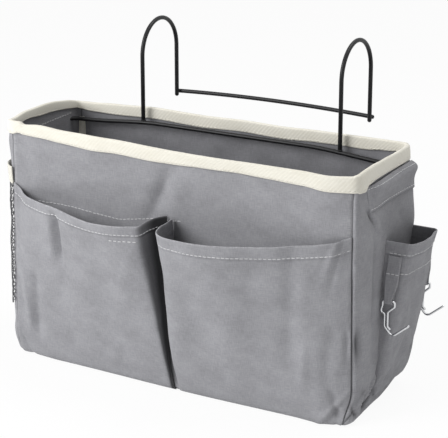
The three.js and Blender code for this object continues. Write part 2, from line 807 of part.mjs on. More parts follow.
// A strap hangs from the pocket's hem, folded round the hook's ring: the eye is the space in its fold
function strapGeometry() {
  const eye = hookWire / 2 + hookRun;
  const around = eye + strapCloth;
  const back = -around;
  const outline = new THREE.Shape();
  outline.moveTo(back, strapTop - eyeHeight);
  outline.lineTo(back, 0);
  outline.absarc(0, 0, around, Math.PI, 2 * Math.PI, false);
  outline.lineTo(around, eye);
  outline.lineTo(back + 2 * strapCloth, strapJoin - eyeHeight + strapCloth);
  outline.lineTo(back + 2 * strapCloth, strapTop - eyeHeight);
  outline.closePath();
  const hole = new THREE.Path();
  hole.moveTo(back + strapCloth, strapJoin - eyeHeight);
  hole.lineTo(-eye, 0);
  hole.absarc(0, 0, eye, Math.PI, 2 * Math.PI, false);
  hole.lineTo(eye, eye);
  hole.closePath();
  outline.holes.push(hole);
  const geometry = new THREE.ExtrudeGeometry(
    outline, { depth: strapWidth, bevelEnabled: false, curveSegments: 6, steps: 2 });
  geometry.translate(0, 0, -strapWidth / 2);
  const position = geometry.attributes.position;
  for (let k = 0; k < position.count; k += 1) {
    const gathered = 1 - smooth(position.getY(k), eye, strapJoin - eyeHeight);
    position.setZ(k, position.getZ(k) * mix(1, strapGathered / strapWidth, gathered));
  }
  return geometry;
}

// The hook is one wire: up its inner stem, round the ring, down the outer stem and out to the tip.
// Its plane is upright, with its first direction along the wall's outward side.
function hookGeometry() {
  const stemOuter = -stemSpacing * stemOffsetShare;
  const stemInner = stemOuter + stemSpacing;
  const half = ringWidth / 2;
  const row = (x, z, bend) => ({ point: new THREE.Vector3(x, 0, z), bend });
  const rows = [
    row(stemOuter + innerWireReach, -hookDepth + stemSpacing * innerTipLiftShare, 0),
    row(stemInner, -ringDrop - hookStem, easyBend - stemSpacing),
    row(stemInner, -ringDrop + ringSide / 4, tightBend),
    row(half, -ringSide, tightBend),
    row(half, 0, tightBend),
    row(-half, 0, tightBend),
    row(-half, -ringSide, tightBend),
    row(-ringLean, -ringDrop + ringSide / 2, tightBend),
    row(-ringLean + ringSide / 4, -ringDrop - hookWire / 4, tightBend),
    row(stemOuter, -ringDrop + hookWire / 8, tightBend),
    row(stemOuter, -ringDrop - hookStem, easyBend),
    row(stemOuter + innerWireReach * heelShare, -hookDepth + tipRise * heelRiseShare, easyBend),
    row(stemOuter + innerWireReach * toeShare, -hookDepth, easyBend),
    row(stemOuter + hookReach, -hookDepth + tipRise, 0),
  ];
  return wire(bentPath(rows), hookWire, 8, 84);
}

function makeStrapsAndHooks() {
  const strap = strapGeometry();
  const hook = hookGeometry();
  const around = hookWire / 2 + hookRun + strapCloth;
  const centre = sideWallX(eyeHeight) + wallFace + strapCentre;
  // The front hook hangs clear of the pocket's slanting edge down to its own foot.
  // Its strap leans out to it from the pocket's hem.
  const frontY = sidePocketFrontAt(eyeHeight - hookDepth) - pocketThick / 2 - seat - hookWire / 2;
  const frontTopY = sidePocketFrontAt(strapTop) - pocketThick / 2 - seat - around;
  const frontLean = (frontTopY - frontY) / (strapTop - eyeHeight);
  const ends = [
    { end: 'front', x: centre, y: frontY, z: eyeHeight, away: -1, slope: frontLean },
    { end: 'rear', x: centre + rearStrapShift, y: sidePocketRear + pocketThick / 2 + seat + around,
      z: eyeHeight + rearEyeRise, away: 1, slope: 0 },
  ];
  for (const { end, x, y, z, away, slope } of ends) {
    // The strap's outline is drawn away from the pocket, upwards and across its width
    const stand = new THREE.Matrix4().makeBasis(
      new THREE.Vector3(0, away, 0), new THREE.Vector3(0, slope, 1), new THREE.Vector3(away, 0, 0));
    const placed = strap.clone().applyMatrix4(stand).translate(x, y, z);
    place(`${end}_strap`, placed, materials.canvas);
    const mesh = place(`${end}_hook`, hook.clone(), materials.chrome);
    mesh.position.set(x, y, z);
  }
}

makeBody();
place('rim_binding', makeBinding(), materials.binding);
makeTapes();
makeFrame();
makeSleeves();
makeFrontPockets();
makeNetPocket();
makeSidePocket();
makeStrapsAndHooks();

export default caddy;
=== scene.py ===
"""Bedside caddy: a lined canvas bag on a bent wire frame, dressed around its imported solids."""

import math
from functools import partial

import bmesh
import bpy
import numpy as np
from bpy.props import FloatProperty, FloatVectorProperty, IntProperty, PointerProperty
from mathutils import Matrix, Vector


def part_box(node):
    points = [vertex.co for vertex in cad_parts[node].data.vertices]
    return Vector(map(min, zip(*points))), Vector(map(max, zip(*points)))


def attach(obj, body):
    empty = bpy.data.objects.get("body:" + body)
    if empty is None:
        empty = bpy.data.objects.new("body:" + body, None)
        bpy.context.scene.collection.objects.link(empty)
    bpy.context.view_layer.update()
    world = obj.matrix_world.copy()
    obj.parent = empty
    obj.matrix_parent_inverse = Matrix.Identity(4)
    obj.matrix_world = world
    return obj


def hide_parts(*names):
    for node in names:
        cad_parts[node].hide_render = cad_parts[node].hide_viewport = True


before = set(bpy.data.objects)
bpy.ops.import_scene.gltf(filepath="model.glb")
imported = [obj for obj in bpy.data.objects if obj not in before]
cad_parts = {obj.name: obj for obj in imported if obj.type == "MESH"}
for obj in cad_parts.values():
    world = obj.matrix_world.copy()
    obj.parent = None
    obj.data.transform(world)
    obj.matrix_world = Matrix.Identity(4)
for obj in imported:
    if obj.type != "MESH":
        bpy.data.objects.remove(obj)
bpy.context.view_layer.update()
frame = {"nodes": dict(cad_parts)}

bl_info = {
    "name": "Bedside Caddy",
    "version": (1, 0, 0),
    "blender": (4, 5, 0),
    "location": "3D View > Sidebar > Caddy",
    "description": "Dresses the frame of a canvas bedside caddy with cloth, wire and stitching",
    "category": "Add Mesh",
}

MM = 0.001
QUARTER = math.pi / 2

# The bag's shape, in millimetres, as its solids have it
HALF_WIDTH, HALF_DEPTH, BAG_HEIGHT = 158.0, 55.5, 206.0
WALL, POCKET_CLOTH, SEAT = 1.6, 1.2, 0.3
FACE = WALL / 2
RIM_SWELL, SIDE_BULGE = 4.0, 2.8
RIM_CORNER, FRONT_CORNER, REAR_CORNER = 5.0, 20.0, 5.0
SWELL_TOP, SWELL_FULL = 192.0, 140.0
FOOT_FLARE, FLARE_TOP = 2.5, 150.0
FOOT_SWELL_HEIGHT, FOOT_RADIUS, FOOT_SWELL_SHARE = 45.0, 5.0, 0.35
CORNER_SHARE = 0.26
FOOT_ARC = FOOT_RADIUS * QUARTER
LEFT_LIFT, REAR_DROP_SHARE, REAR_START_SHARE = 5.0, 1.1, 0.1
BINDING_THICK, BINDING_HEIGHT = 1.0, 11.5
SIDES = ("front", "right", "back", "left")
RIM_LENGTH = 4 * (HALF_WIDTH + HALF_DEPTH)

# How far sewing has drawn each upright seam to the right and to the rear, in millimetres, and how far that is felt
SEAM_PULL = {("front", "left"): (4.6, 0.0), ("front", "right"): (2.0, 5.0), ("back", "left"): (0.8, 0.0)}
PULL_REACH = {"front": 24.0, "right": 28.0, "back": 20.0, "left": 15.0}
SEAM_SINK, SEAM_GROOVE = 1.0, 1.5
# The same at the foot, with the height at which it ends
FOOT_PULL = {
    ("front", "left"): (6.5, 3.0, 26), ("front", "right"): (-1.0, -3.0, 26), ("back", "right"): (-5.5, -3.0, 32)
}
# Heights between which the pull of the upright seams starts
PULL_LEVEL = (2, 30)
# The front wall stands out low down, and the right wall is drawn in at its foot. Each pair says where along the
# wall, from -1 to 1, or at which height something starts or ends
FRONT_BELLY, BELLY_START, BELLY_END, BELLY_LEVEL = 5.5, (-0.8, 0.3), (0.86, 1), (4, 110)
RIGHT_TUCK, TUCK_TOP, TUCK_RUN = 3.0, 24, (-0.9, -0.1)
RIM_ROUNDING = 3.4
# Waves of the walls' cloth: wavelength, height and shift, and how much each set leans
SWAY_WAVES = ((RIM_LENGTH / 5, 0.45, 2.4), (RIM_LENGTH / 9, 0.35, 2.1), (RIM_LENGTH / 16, 0.2, 4.0))
SLOW_WAVES, SLOW_LEAN, SLOW_TOP = ((RIM_LENGTH / 6, 0.6, 1.0), (RIM_LENGTH / 13, 0.6, 3.1)), 0.3, 190
FINE_WAVES, FINE_LEAN, LEVEL_WAVES, LEVEL_LEAN = ((RIM_LENGTH / 22, 0.25, 0.7),), 0.9, ((31, 0.2, 2.0),), -0.2
# Where the rim leans in at the left: how far, the place round the rim and the width
LEFT_DENT = (-2.6, 840, 13)
# Heights between which creases, waves, sunken seams and the rim's sway start, and between which the first ones end
CREASE_START, WAVE_START, SINK_START, SWAY_START = (0.5, 5), (4, 16), (3, 12), (120, 196)
CREASE_END, SINK_END = (188, 200), (192, 200)

# Creases of each wall, in millimetres: place along it, lean, width, height, length and depth
CREASES = {
    "front": (
        (-9, 0.42, 6.5, 169, 22, -4.4), (8, 0.4, 9, 172, 22, 1.2), (60, 0.2, 16, 178, 18, 0.7),
        (118, -0.25, 12, 176, 20, -0.8), (146, -0.1, 5, 72, 14, -1.2), (149, 0.5, 3, 9, 6, -1.0),
        (-128, -0.3, 10, 172, 22, 0.7), (-60, 0.25, 14, 180, 16, -0.7), (155, 0.0, 2.2, 68, 12, -2.4),
        (152, -0.8, 2.0, 12, 8, -2.0), (146, 0.7, 2.2, 14, 9, 1.6),
    ),
    "right": (
        (-27, -0.3, 2.2, 167, 7, -2.2), (-21, -0.3, 3.0, 163, 10, 1.6), (46, 0.05, 15, 158, 34, 4.2),
        (22, -0.5, 5, 158, 12, -0.7), (-33, 0.05, 4, 110, 34, -0.8), (-24, 0.9, 3.2, 15, 8, -4.4),
        (-36, -0.8, 3.0, 15, 9, -3.6), (-44, 0.6, 2.6, 18, 9, 2.6), (-8, -1.0, 3.2, 12, 6, 2.4),
        (18, 0.9, 4, 10, 6, -1.4), (-51, 0.0, 2.6, 68, 12, -2.6), (-50, 0.8, 1.9, 9, 7, -2.6),
        (-45, -0.9, 1.9, 9, 7, -2.6), (-30, 1.4, 2.2, 22, 8, 2.6), (-16, -0.4, 2.2, 24, 12, -1.8),
    ),
    "back": (
        (-60, -0.25, 16, 120, 50, 0.9), (70, 0.2, 20, 90, 50, -0.9), (10, 0.1, 12, 60, 34, 0.7),
        (-110, 0.3, 10, 60, 26, -0.8), (128, -0.2, 9, 140, 30, 0.8), (-20, -0.15, 8, 175, 16, -0.6),
    ),
    "left": (
        (-30, 0.2, 7, 100, 50, 0.6), (-26, 0.0, 30, 136, 34, -1.7), (30, -0.3, 6, 30, 16, -0.9),
        (4, 0.4, 5, 22, 12, 0.8),
    ),
}

# Distances from a seam at which the cloth of a long wall has points, in millimetres, and the points elsewhere
SEAM_STATIONS = (0, 0.7, 1.5, 2.4, 3.6, *np.arange(5, 32, 1.8))
LONG_WALL_SHARE, CORNER_STATIONS = 1.7, 15

# Round the rim from the front left corner, in millimetres: place, how much higher the rim is there,
# and how far the binding's outer and inner edges lie below it
RIM_ROWS = np.array([
    (0, 0.3, 11.0, 9.0), (9, 0.8, 9.6, 9.4), (15, -1.2, 8.6, 10.0), (32, 0.5, 10.6, 11.0), (53, -0.5, 10.6, 11.5),
    (83, 0.1, 12.3, 11.5), (111, 0.6, 11.3, 11.0), (134, 0.4, 11.8, 11.5), (161, 0.3, 10.8, 11.5),
    (186, 0.0, 9.8, 11.2), (212, -0.3, 9.2, 11.5), (253, 0.2, 10.5, 11.0), (276, 0.4, 11.5, 11.5),
    (299, -0.4, 12.6, 11.0), (312, 0.2, 12.9, 11.0), (322, 1.1, 13.8, 11.0), (333, 1.4, 15.2, 11.0),
    (340, 1.7, 16.4, 11.3), (344, 1.9, 12.6, 11.5), (356, 2.3, 12.0, 11.0), (372, 1.4, 11.6, 11.4),
    (392, 0.5, 11.6, 11.0), (416, 0.4, 11.8, 10.0), (427, 1.2, 12.0, 7.6), (446, 0.9, 12.0, 9.0),
    (463, 0.6, 12.2, 10.4), (484, 0.5, 11.4, 9.8), (503, 0.5, 11.9, 10.0), (540, -0.3, 11.2, 10.6),
    (580, 0.3, 12.0, 10.0), (620, -0.4, 11.4, 10.6), (665, 0.4, 12.0, 10.0), (705, -0.9, 11.2, 9.6),
    (732, -2.4, 11.4, 8.0), (743, -2.6, 11.6, 6.6), (752, -2.2, 11.6, 6.0), (767, -0.3, 12.0, 7.6),
    (787, -0.2, 11.2, 8.6), (801, 0.2, 11.6, 8.6), (818, 0.3, 11.2, 7.0), (834, -1.3, 10.6, 7.2),
    (845, -0.2, 10.8, 8.4), (854, 0.3, 11.0, 9.0),
])


def smooth(value, low, high):
    share = np.clip((np.asarray(value, float) - low) / (high - low), 0, 1)
    return share * share * (3 - 2 * share)


def mix(low, high, share):
    return low + (high - low) * share


def unit(vectors):
    """The same directions with length 1."""
    return vectors / np.linalg.norm(vectors, axis=-1, keepdims=True)


def gridded(*values):
    """Values as arrays of one shape."""
    return np.broadcast_arrays(*(np.asarray(value, float) for value in values))


def bell(value, centre, width):
    """A soft hump of height 1."""
    return np.exp(-(((value - centre) / width) ** 2))


def band(value, row):
    """A soft band: its height, its middle and its width."""
    height, middle, width = row
    return height * bell(value, middle, width)


def waves(value, rows):
    """A sum of gentle waves: each row is a wavelength, a height and a shift."""
    return sum(height * np.sin(2 * math.pi * value / length + shift) for length, height, shift in rows)


def eased(value, places, heights):
    """Heights at given places, joined by soft slopes."""
    value = np.asarray(value, float)
    k = np.clip(np.searchsorted(places, value) - 1, 0, len(places) - 2)
    return mix(heights[k], heights[k + 1], smooth((value - places[k]) / (places[k + 1] - places[k]), 0, 1))


# The walls' surface


def swell_share(z):
    upper = 1 - smooth(z, SWELL_FULL, SWELL_TOP)
    return upper * mix(FOOT_SWELL_SHARE, 1, smooth(z, 0, FOOT_SWELL_HEIGHT))


def swell_at(z):
    return RIM_SWELL + SIDE_BULGE * swell_share(z)


def flare_at(z):
    return FOOT_FLARE * (1 - smooth(z, 0, FLARE_TOP))


def corner_depth(z, end):
    return RIM_CORNER + np.where(np.asarray(end) < 0, FRONT_CORNER, REAR_CORNER) * swell_share(z)


def side_wall_x(z):
    """Where the middle of a side wall's cloth stands at a height."""
    return HALF_WIDTH + flare_at(z) + swell_at(z)


def half_run(side):
    return HALF_WIDTH if side in ("front", "back") else HALF_DEPTH


def tuck_at(side, t, z):
    """How far the right wall is drawn in at its foot."""
    return (RIGHT_TUCK if side == "right" else 0.0) * (1 - smooth(z, 0, TUCK_TOP)) * smooth(t, *TUCK_RUN)


def seam_pull(side, t, z):
    """How far a wall's cloth is drawn sideways near its two seams."""
    reach, level = PULL_REACH[side], smooth(z, *PULL_LEVEL)
    shift = np.zeros((2, *np.shape(t)))
    for end in (-1, 1):
        across = side in ("front", "back")
        corner = (side, "left" if end < 0 else "right") if across else ("front" if end < 0 else "back", side)
        from_seam = half_run(side) * (1 - end * t)
        near = (1 - smooth(from_seam, 0, reach)) * level
        if side == "front" and end > 0:
            near = np.clip(1 - from_seam / reach, 0, 1) ** 2 * level
        *foot_pull, top = FOOT_PULL.get(corner, (0.0, 0.0, 1.0))
        foot = (1 - smooth(from_seam, 0, 2 * reach)) * (1 - smooth(z, 0, top))
        for k, pull in enumerate(SEAM_PULL.get(corner, (0.0, 0.0))):
            shift[k] += pull * near
            shift[k] += foot_pull[k] * foot
    return shift


def wall_place(side, t, z, inset):
    """A place in plan on the middle of a wall's cloth. t runs along the wall from -1 to 1."""
    wide, deep = HALF_WIDTH + flare_at(z) - inset, HALF_DEPTH - inset
    if side in ("front", "back"):
        belly = FRONT_BELLY * smooth(t, *BELLY_START) * (1 - smooth(t, *BELLY_END)) * (1 - smooth(z, *BELLY_LEVEL))
        y = -deep - belly if side == "front" else deep + 0 * t
        return np.stack([t * wide, y]) + seam_pull(side, t, z)
    swell, corner = swell_at(z), corner_depth(z, t)
    turn = np.clip((1 - abs(t)) / CORNER_SHARE, 0, 1) * QUARTER
    run = (t / (1 - CORNER_SHARE) + 1) / 2
    flat_y = mix(-deep + corner_depth(z, -1), deep - corner_depth(z, 1), run)
    y = np.where(abs(t) > 1 - CORNER_SHARE, np.sign(t) * (deep - corner * (1 - np.cos(turn))), flat_y)
    x = (1 if side == "right" else -1) * (wide + swell * np.sin(turn) - tuck_at(side, t, z))
    return np.stack([x, y]) + seam_pull(side, t, z)


def wall_plan(side, t, z, inset):
    """Place and outward direction in plan."""
    t, z, inset = gridded(t, z, inset)
    x, y = wall_place(side, t, z, inset)
    step = 1e-4
    ahead, behind = np.minimum(t + step, 1), np.maximum(t - step, -1)
    dx, dy = wall_place(side, ahead, z, inset) - wall_place(side, behind, z, inset)
    length = np.hypot(dx, dy) * (1 if side in ("front", "right") else -1)
    return x, y, dy / length, -dx / length


def rim_place(side, t):
    """Distance round the rim, in millimetres, from the front left corner."""
    wide, deep = 2 * HALF_WIDTH, 2 * HALF_DEPTH
    start = {"front": 0, "right": wide, "back": wide + deep, "left": 2 * wide + deep}[side]
    run = (np.asarray(t, float) + 1) / 2
    along = run if side in ("front", "right") else 1 - run
    return start + along * (wide if side in ("front", "back") else deep)


def rim_sway(place):
    """How far the rim leans out of line, in millimetres."""
    return waves(place, SWAY_WAVES) + band(place, LEFT_DENT)


def creased(side, along, z, widest=math.inf):
    """How far the creases of a wall, up to a width, stand out at places along it."""
    folds = 0.0
    for middle, lean, width, height, length, proud in CREASES[side]:
        if width < widest:
            folds = folds + proud * bell(along - lean * (z - height), middle, width) * bell(z, height, length)
    return folds


def relief(side, t, z):
    """Sag, creases and sunken seams of a wall, outwards, in millimetres."""
    depth = bpy.context.scene.caddy_bag.crease_depth / MM
    t, place = np.asarray(t, float), rim_place(side, t)
    sag = waves(place + SLOW_LEAN * z, SLOW_WAVES) * np.sin(math.pi * np.clip(z / SLOW_TOP, 0, 1))
    sag = sag + (waves(place + FINE_LEAN * z, FINE_WAVES) + waves(z + LEVEL_LEAN * place, LEVEL_WAVES))
    folds = creased(side, t * half_run(side), z) * smooth(z, *CREASE_START) + sag * smooth(z, *WAVE_START)
    sink = SEAM_SINK * bell(half_run(side) * (1 - abs(t)), 0, SEAM_GROOVE) * smooth(z, *SINK_START)
    level, sink_level = 1 - smooth(z, *CREASE_END), 1 - smooth(z, *SINK_END)
    return depth * level * folds - sink * sink_level + rim_sway(place) * smooth(z, *SWAY_START)


def foot_angle(h):
    return np.minimum(h / FOOT_ARC, 1) * QUARTER


def height_of(h):
    low = FOOT_RADIUS * (1 - np.cos(foot_angle(h)))
    return FACE + np.where(h < FOOT_ARC, low, FOOT_RADIUS + h - FOOT_ARC)


def wall_point(side, t, h, out=0.0):
    """A point h along the cloth from the foot, out from the middle of the wall's cloth."""
    t, h, out = gridded(t, h, out)
    turn = foot_angle(h)
    z = height_of(h)
    x, y, nx, ny = wall_plan(side, t, z, FOOT_RADIUS * (1 - np.sin(turn)))
    level = (out + relief(side, t, z)) * np.sin(turn)
    return np.stack([x + nx * level, y + ny * level, z - out * np.cos(turn)], axis=-1)


def cloth_to(z):
    """Length of cloth from the foot up to a height above it."""
    return z - FACE - FOOT_RADIUS + FOOT_ARC


def along_side(y, z):
    """How far along a side wall, from -1 to 1, a depth lies at a height."""
    y, z = gridded(y, z)
    corner = corner_depth(z, y)
    from_end = HALF_DEPTH - abs(y)
    front, rear = -HALF_DEPTH + corner_depth(z, -1), HALF_DEPTH - corner_depth(z, 1)
    flat = (2 * (y - front) / (rear - front) - 1) * (1 - CORNER_SHARE)
    turn = np.arccos(np.clip(1 - from_end / corner, -1, 1))
    return np.where(from_end >= corner, flat, np.sign(y) * (1 - turn / QUARTER * CORNER_SHARE))


def rim_height(x, y, place):
    towards_left = np.maximum(0, -x / HALF_WIDTH)
    towards_rear = smooth(y / HALF_DEPTH, REAR_START_SHARE, 1)
    level = BAG_HEIGHT + LEFT_LIFT * towards_left * (1 - REAR_DROP_SHARE * towards_rear)
    return level + eased(place, RIM_ROWS[:, 0], RIM_ROWS[:, 1])


def softened(loop, reach):
    """A closed loop of places in plan, its corners rounded by a running mean."""
    steps = np.linalg.norm(np.roll(loop, -1, axis=0) - loop, axis=1)
    run, whole = np.cumsum(steps) - steps, steps.sum()
    apart = abs(run[:, None] - run[None, :])
    weight = np.exp(-((np.minimum(apart, whole - apart) / reach) ** 2) / 2) * (steps + np.roll(steps, 1))
    return weight @ loop / weight.sum(axis=1, keepdims=True)


def run_of(side, step):
    """Places along a wall, closer together at its corners."""
    if side in ("front", "back"):
        edge = 1 - np.array(SEAM_STATIONS) / HALF_WIDTH
        flat = np.linspace(-edge[-1], edge[-1], int(LONG_WALL_SHARE * HALF_WIDTH / step))
        return np.concatenate([-edge[:-1], flat, edge[-2::-1]])
    corner = np.linspace(-1, -1 + CORNER_SHARE, CORNER_STATIONS)
    flat = np.linspace(-1 + CORNER_SHARE, 1 - CORNER_SHARE, int(2 * HALF_DEPTH / step))
    return np.concatenate([corner[:-1], flat, -corner[-2::-1]])


def around(step):
    """Walls and places for one trip round the bag, from the front left corner."""
    for side in SIDES:
        run = run_of(side, step)
        yield side, run if side in ("front", "right") else run[::-1]


# Making pieces

# How far out along its half-round end a wire has rings, as shares of its radius
CAP_STEPS = np.array([0.35, 0.62, 0.84, 0.97])
# How far a stitch strays sideways and sinks or stands, in millimetres
STITCH_STRAY, STITCH_SINK = 0.12, 0.14


def clear_selection():
    if bpy.context.object and bpy.context.object.mode != "OBJECT":
        bpy.ops.object.mode_set(mode="OBJECT")
    bpy.ops.object.select_all(action="DESELECT")


def only(piece):
    clear_selection()
    piece.select_set(True)
    bpy.context.view_layer.objects.active = piece


def edit(piece, action="SELECT"):
    """Opens a piece for editing, with all of it selected or nothing."""
    only(piece)
    bpy.ops.object.mode_set(mode="EDIT")
    bpy.ops.mesh.select_all(action=action)


def lengths(points, axis):
    """Mean running length of a grid of points along its rows or columns."""
    steps = np.linalg.norm(np.diff(points, axis=axis), axis=-1)
    return np.concatenate([[0], np.cumsum(steps.mean(axis=1 - axis))])


def apply_modifier(piece, kind, **settings):
    modifier = piece.modifiers.new(kind.title(), kind)
    for name, value in settings.items():
        setattr(modifier, name, value)
    only(piece)
    bpy.ops.object.modifier_apply(modifier=modifier.name)


def cloth(name, points, thickness, materials, closed=False, levels=1, wear=None):
    """A sheet of cloth: a grid whose points lie on the middle of the cloth, given its thickness and its selvedges."""
    rows, columns = points.shape[:2]
    clear_selection()
    bpy.ops.mesh.primitive_grid_add(x_subdivisions=columns - 1, y_subdivisions=rows - 1, size=1, calc_uvs=True)
    piece = bpy.context.object
    piece.name = piece.data.name = name
    mesh = piece.data
    mesh.vertices.foreach_set("co", (points * MM).astype(np.float32).ravel())
    corner = np.zeros(len(mesh.loops), np.int32)
    mesh.loops.foreach_get("vertex_index", corner)
    along, up = lengths(points, 1) * MM, lengths(points, 0) * MM
    uv = np.stack([along[corner % columns], up[corner // columns]], axis=-1)
    mesh.uv_layers.active.data.foreach_set("uv", uv.astype(np.float32).ravel())
    # Per point: above 0 rubbed, paler yarn; below 0 painted shade, which the woven finishes darken in
    attribute = mesh.attributes.new("wear", "FLOAT", "POINT")
    rubbed_and_shaded = np.zeros((rows, columns)) if wear is None else np.broadcast_to(wear, (rows, columns))
    attribute.data.foreach_set("value", rubbed_and_shaded.astype(np.float32).ravel())
    mesh.update()
    for material in materials:
        mesh.materials.append(material)
    if closed:
        edit(piece)
        bpy.ops.mesh.remove_doubles(threshold=1e-6)
        bpy.ops.object.mode_set(mode="OBJECT")
    inner = 1 if len(materials) > 1 else 0
    apply_modifier(piece, "SOLIDIFY", thickness=thickness * MM, offset=0.0, material_offset=inner)
    if levels:
        apply_modifier(piece, "SUBSURF", levels=levels, render_levels=levels)
    only(piece)
    bpy.ops.object.shade_smooth()
    return piece


def tube(name, path, diameter, material, sides):
    """A round wire along a path of points in millimetres, with rounded ends."""
    path = np.asarray(path, float)
    first, last = unit(path[0] - path[1]), unit(path[-1] - path[-2])
    widths, reach = np.sqrt(1 - CAP_STEPS**2), CAP_STEPS * diameter / 2
    radii = np.concatenate([widths[::-1], np.ones(len(path)), widths])
    path = np.concatenate([path[0] + np.outer(reach[::-1], first), path, path[-1] + np.outer(reach, last)])
    clear_selection()
    bpy.ops.curve.primitive_nurbs_path_add()
    wire = bpy.context.object
    curve = wire.data
    curve.splines.clear()
    spline = curve.splines.new("POLY")
    spline.points.add(len(path) - 1)
    spline.points.foreach_set("co", np.concatenate([path * MM, np.ones((len(path), 1))], axis=1).ravel())
    spline.points.foreach_set("radius", radii)
    spline.use_smooth = True
    curve.dimensions = "3D"
    curve.twist_mode = "MINIMUM"
    curve.bevel_depth = diameter / 2 * MM
    curve.bevel_resolution = sides // 4 - 1
    curve.use_fill_caps = True
    only(wire)
    bpy.ops.object.convert(target="MESH")
    wire = bpy.context.object
    wire.name = wire.data.name = name
    wire.data.materials.clear()
    wire.data.materials.append(material)
    bpy.ops.object.shade_smooth()
    return wire


def bead(at, size, material):
    """A small weld, in millimetres."""
    clear_selection()
    place = [value * MM for value in at]
    bpy.ops.mesh.primitive_uv_sphere_add(segments=18, ring_count=10, radius=MM, location=place)
    drop = bpy.context.object
    drop.scale = size
    bpy.ops.object.transform_apply(location=True, rotation=True, scale=True)
    drop.data.materials.append(material)
    bpy.ops.object.shade_smooth()
    return drop


def joined(name, pieces):
    clear_selection()
    for piece in pieces:
        piece.select_set(True)
    bpy.context.view_layer.objects.active = pieces[0]
    bpy.ops.object.join()
    whole = bpy.context.object
    whole.name = whole.data.name = name
    return whole


def settle(piece, body, slot, *nodes):
    """Attaches a finished piece to its body and hides the solids that it stands for. Its slot is not used."""
    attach(piece, body)
    if nodes:
        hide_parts(*nodes)
    return piece


def lifted(surface, u, v, lift):
    """Points a little off a surface, and the surface's directions there."""
    step = 1e-3
    along = surface(np.minimum(u + step, 1), v) - surface(np.maximum(u - step, 0), v)
    up = surface(u, np.minimum(v + step, 1)) - surface(u, np.maximum(v - step, 0))
    normal = unit(np.cross(along, up))
    return surface(u, v) + normal * lift, normal


def stitches(name, lines, material, slot="canvas"):
    """Sewn stitches along lines of points: one stitch is modelled and repeated."""
    sewing = bpy.context.scene.caddy_sewing
    pitch, long, wide = sewing.pitch / MM, sewing.length / MM, sewing.thread / MM
    clear_selection()
    bpy.ops.mesh.primitive_uv_sphere_add(segments=6, ring_count=5, radius=0.5)
    seed = bpy.context.object
    shape = np.array([vertex.co[:] for vertex in seed.data.vertices])
    faces = [list(face.vertices) for face in seed.data.polygons]
    bpy.data.objects.remove(seed)
    profile = shape[:, [2, 0, 1]] * [long, wide, wide]
    points, polygons = [], []
    for path, normals in lines:
        run = np.concatenate([[0], np.cumsum(np.linalg.norm(np.diff(path, axis=0), axis=1))])
        count = max(int(run[-1] / pitch), 1)
        for k in range(count):
            middle = (k + 0.5) * run[-1] / count
            ends = [middle - long / 2, middle + long / 2]
            a, b = ([np.interp(at, run, path[:, axis]) for axis in range(3)] for at in ends)
            a, b = np.array(a), np.array(b)
            forward = unit(b - a)
            up = np.array([np.interp(middle, run, normals[:, axis]) for axis in range(3)])
            across = unit(np.cross(up, forward))
            basis = np.stack([forward, across, np.cross(forward, across)])
            start = len(points) * len(shape)
            rise = math.sin(k * 0.37 + 2 * math.sin(k * 0.11))
            uneven = across * STITCH_STRAY * math.sin(k * 2.4) + up * STITCH_SINK * rise
            points.append(profile @ basis + (a + b) / 2 + uneven)
            polygons += [[start + corner for corner in face] for face in faces]
    mesh = bpy.data.meshes.new(name)
    mesh.from_pydata((np.concatenate(points) * MM).tolist(), [], polygons)
    mesh.materials.append(material)
    piece = bpy.data.objects.new(name, mesh)
    bpy.context.scene.collection.objects.link(piece)
    only(piece)
    bpy.ops.object.shade_smooth()
    return settle(piece, "caddy", slot)


# Finishes

# Settings that several nodes share
MULTIPLY, ADD, HIGHEST = {"operation": "MULTIPLY"}, {"operation": "ADD"}, {"operation": "MAXIMUM"}
COLOURS, ACROSS, ALONG = {"data_type": "RGBA"}, {"bands_direction": "X"}, {"bands_direction": "Y"}
WORN_YARN = "#bdbdc1"


def linear(code):
    """An sRGB hex colour as linear red, green, blue and alpha."""
    values = [int(code[k : k + 2], 16) / 255 for k in (1, 3, 5)]
    return [v / 12.92 if v <= 0.04045 else ((v + 0.055) / 1.055) ** 2.4 for v in values] + [1.0]


def feed(node, **inputs):
    """Gives a node's inputs their values, or links them to the sockets given."""
    for key, value in inputs.items():
        socket = node.inputs[int(key[1:]) if key[1:].isdigit() else key.replace("_", " ")]
        if isinstance(value, bpy.types.NodeSocket):
            node.id_data.links.new(value, socket)
        else:
            socket.default_value = value


def add_node(tree, kind, settings=(), out=0, **inputs):
    """Adds a node with its settings and links. One of its outputs comes back, or all of them for None."""
    node = tree.nodes.new("ShaderNode" + kind)
    for name, value in dict(settings).items():
        setattr(node, name, value)
    feed(node, **inputs)
    return node.outputs if out is None else node.outputs[out]


def new_material(name, **surface):
    """A material with its shader's own settings, the shader, and add_node for its tree."""
    material = bpy.data.materials.new(name)
    material.use_nodes = True
    shader = material.node_tree.nodes["Principled BSDF"]
    feed(shader, **surface)
    return material, shader, partial(add_node, material.node_tree)


def bands(spacing):
    """The Wave Texture's scale for a spacing in millimetres."""
    return 2 * math.pi / (20 * spacing * MM)


def grains(across, along=None, deep=None):
    """A Mapping node's scale for noise whose grains have these sizes in millimetres."""
    along = along or across
    return [1 / (size * MM) for size in (across, along, deep or along)]


def tinted(colour, factor):
    """A linear colour made darker or paler."""
    return [min(value * factor, 1) for value in colour[:3]] + [1]


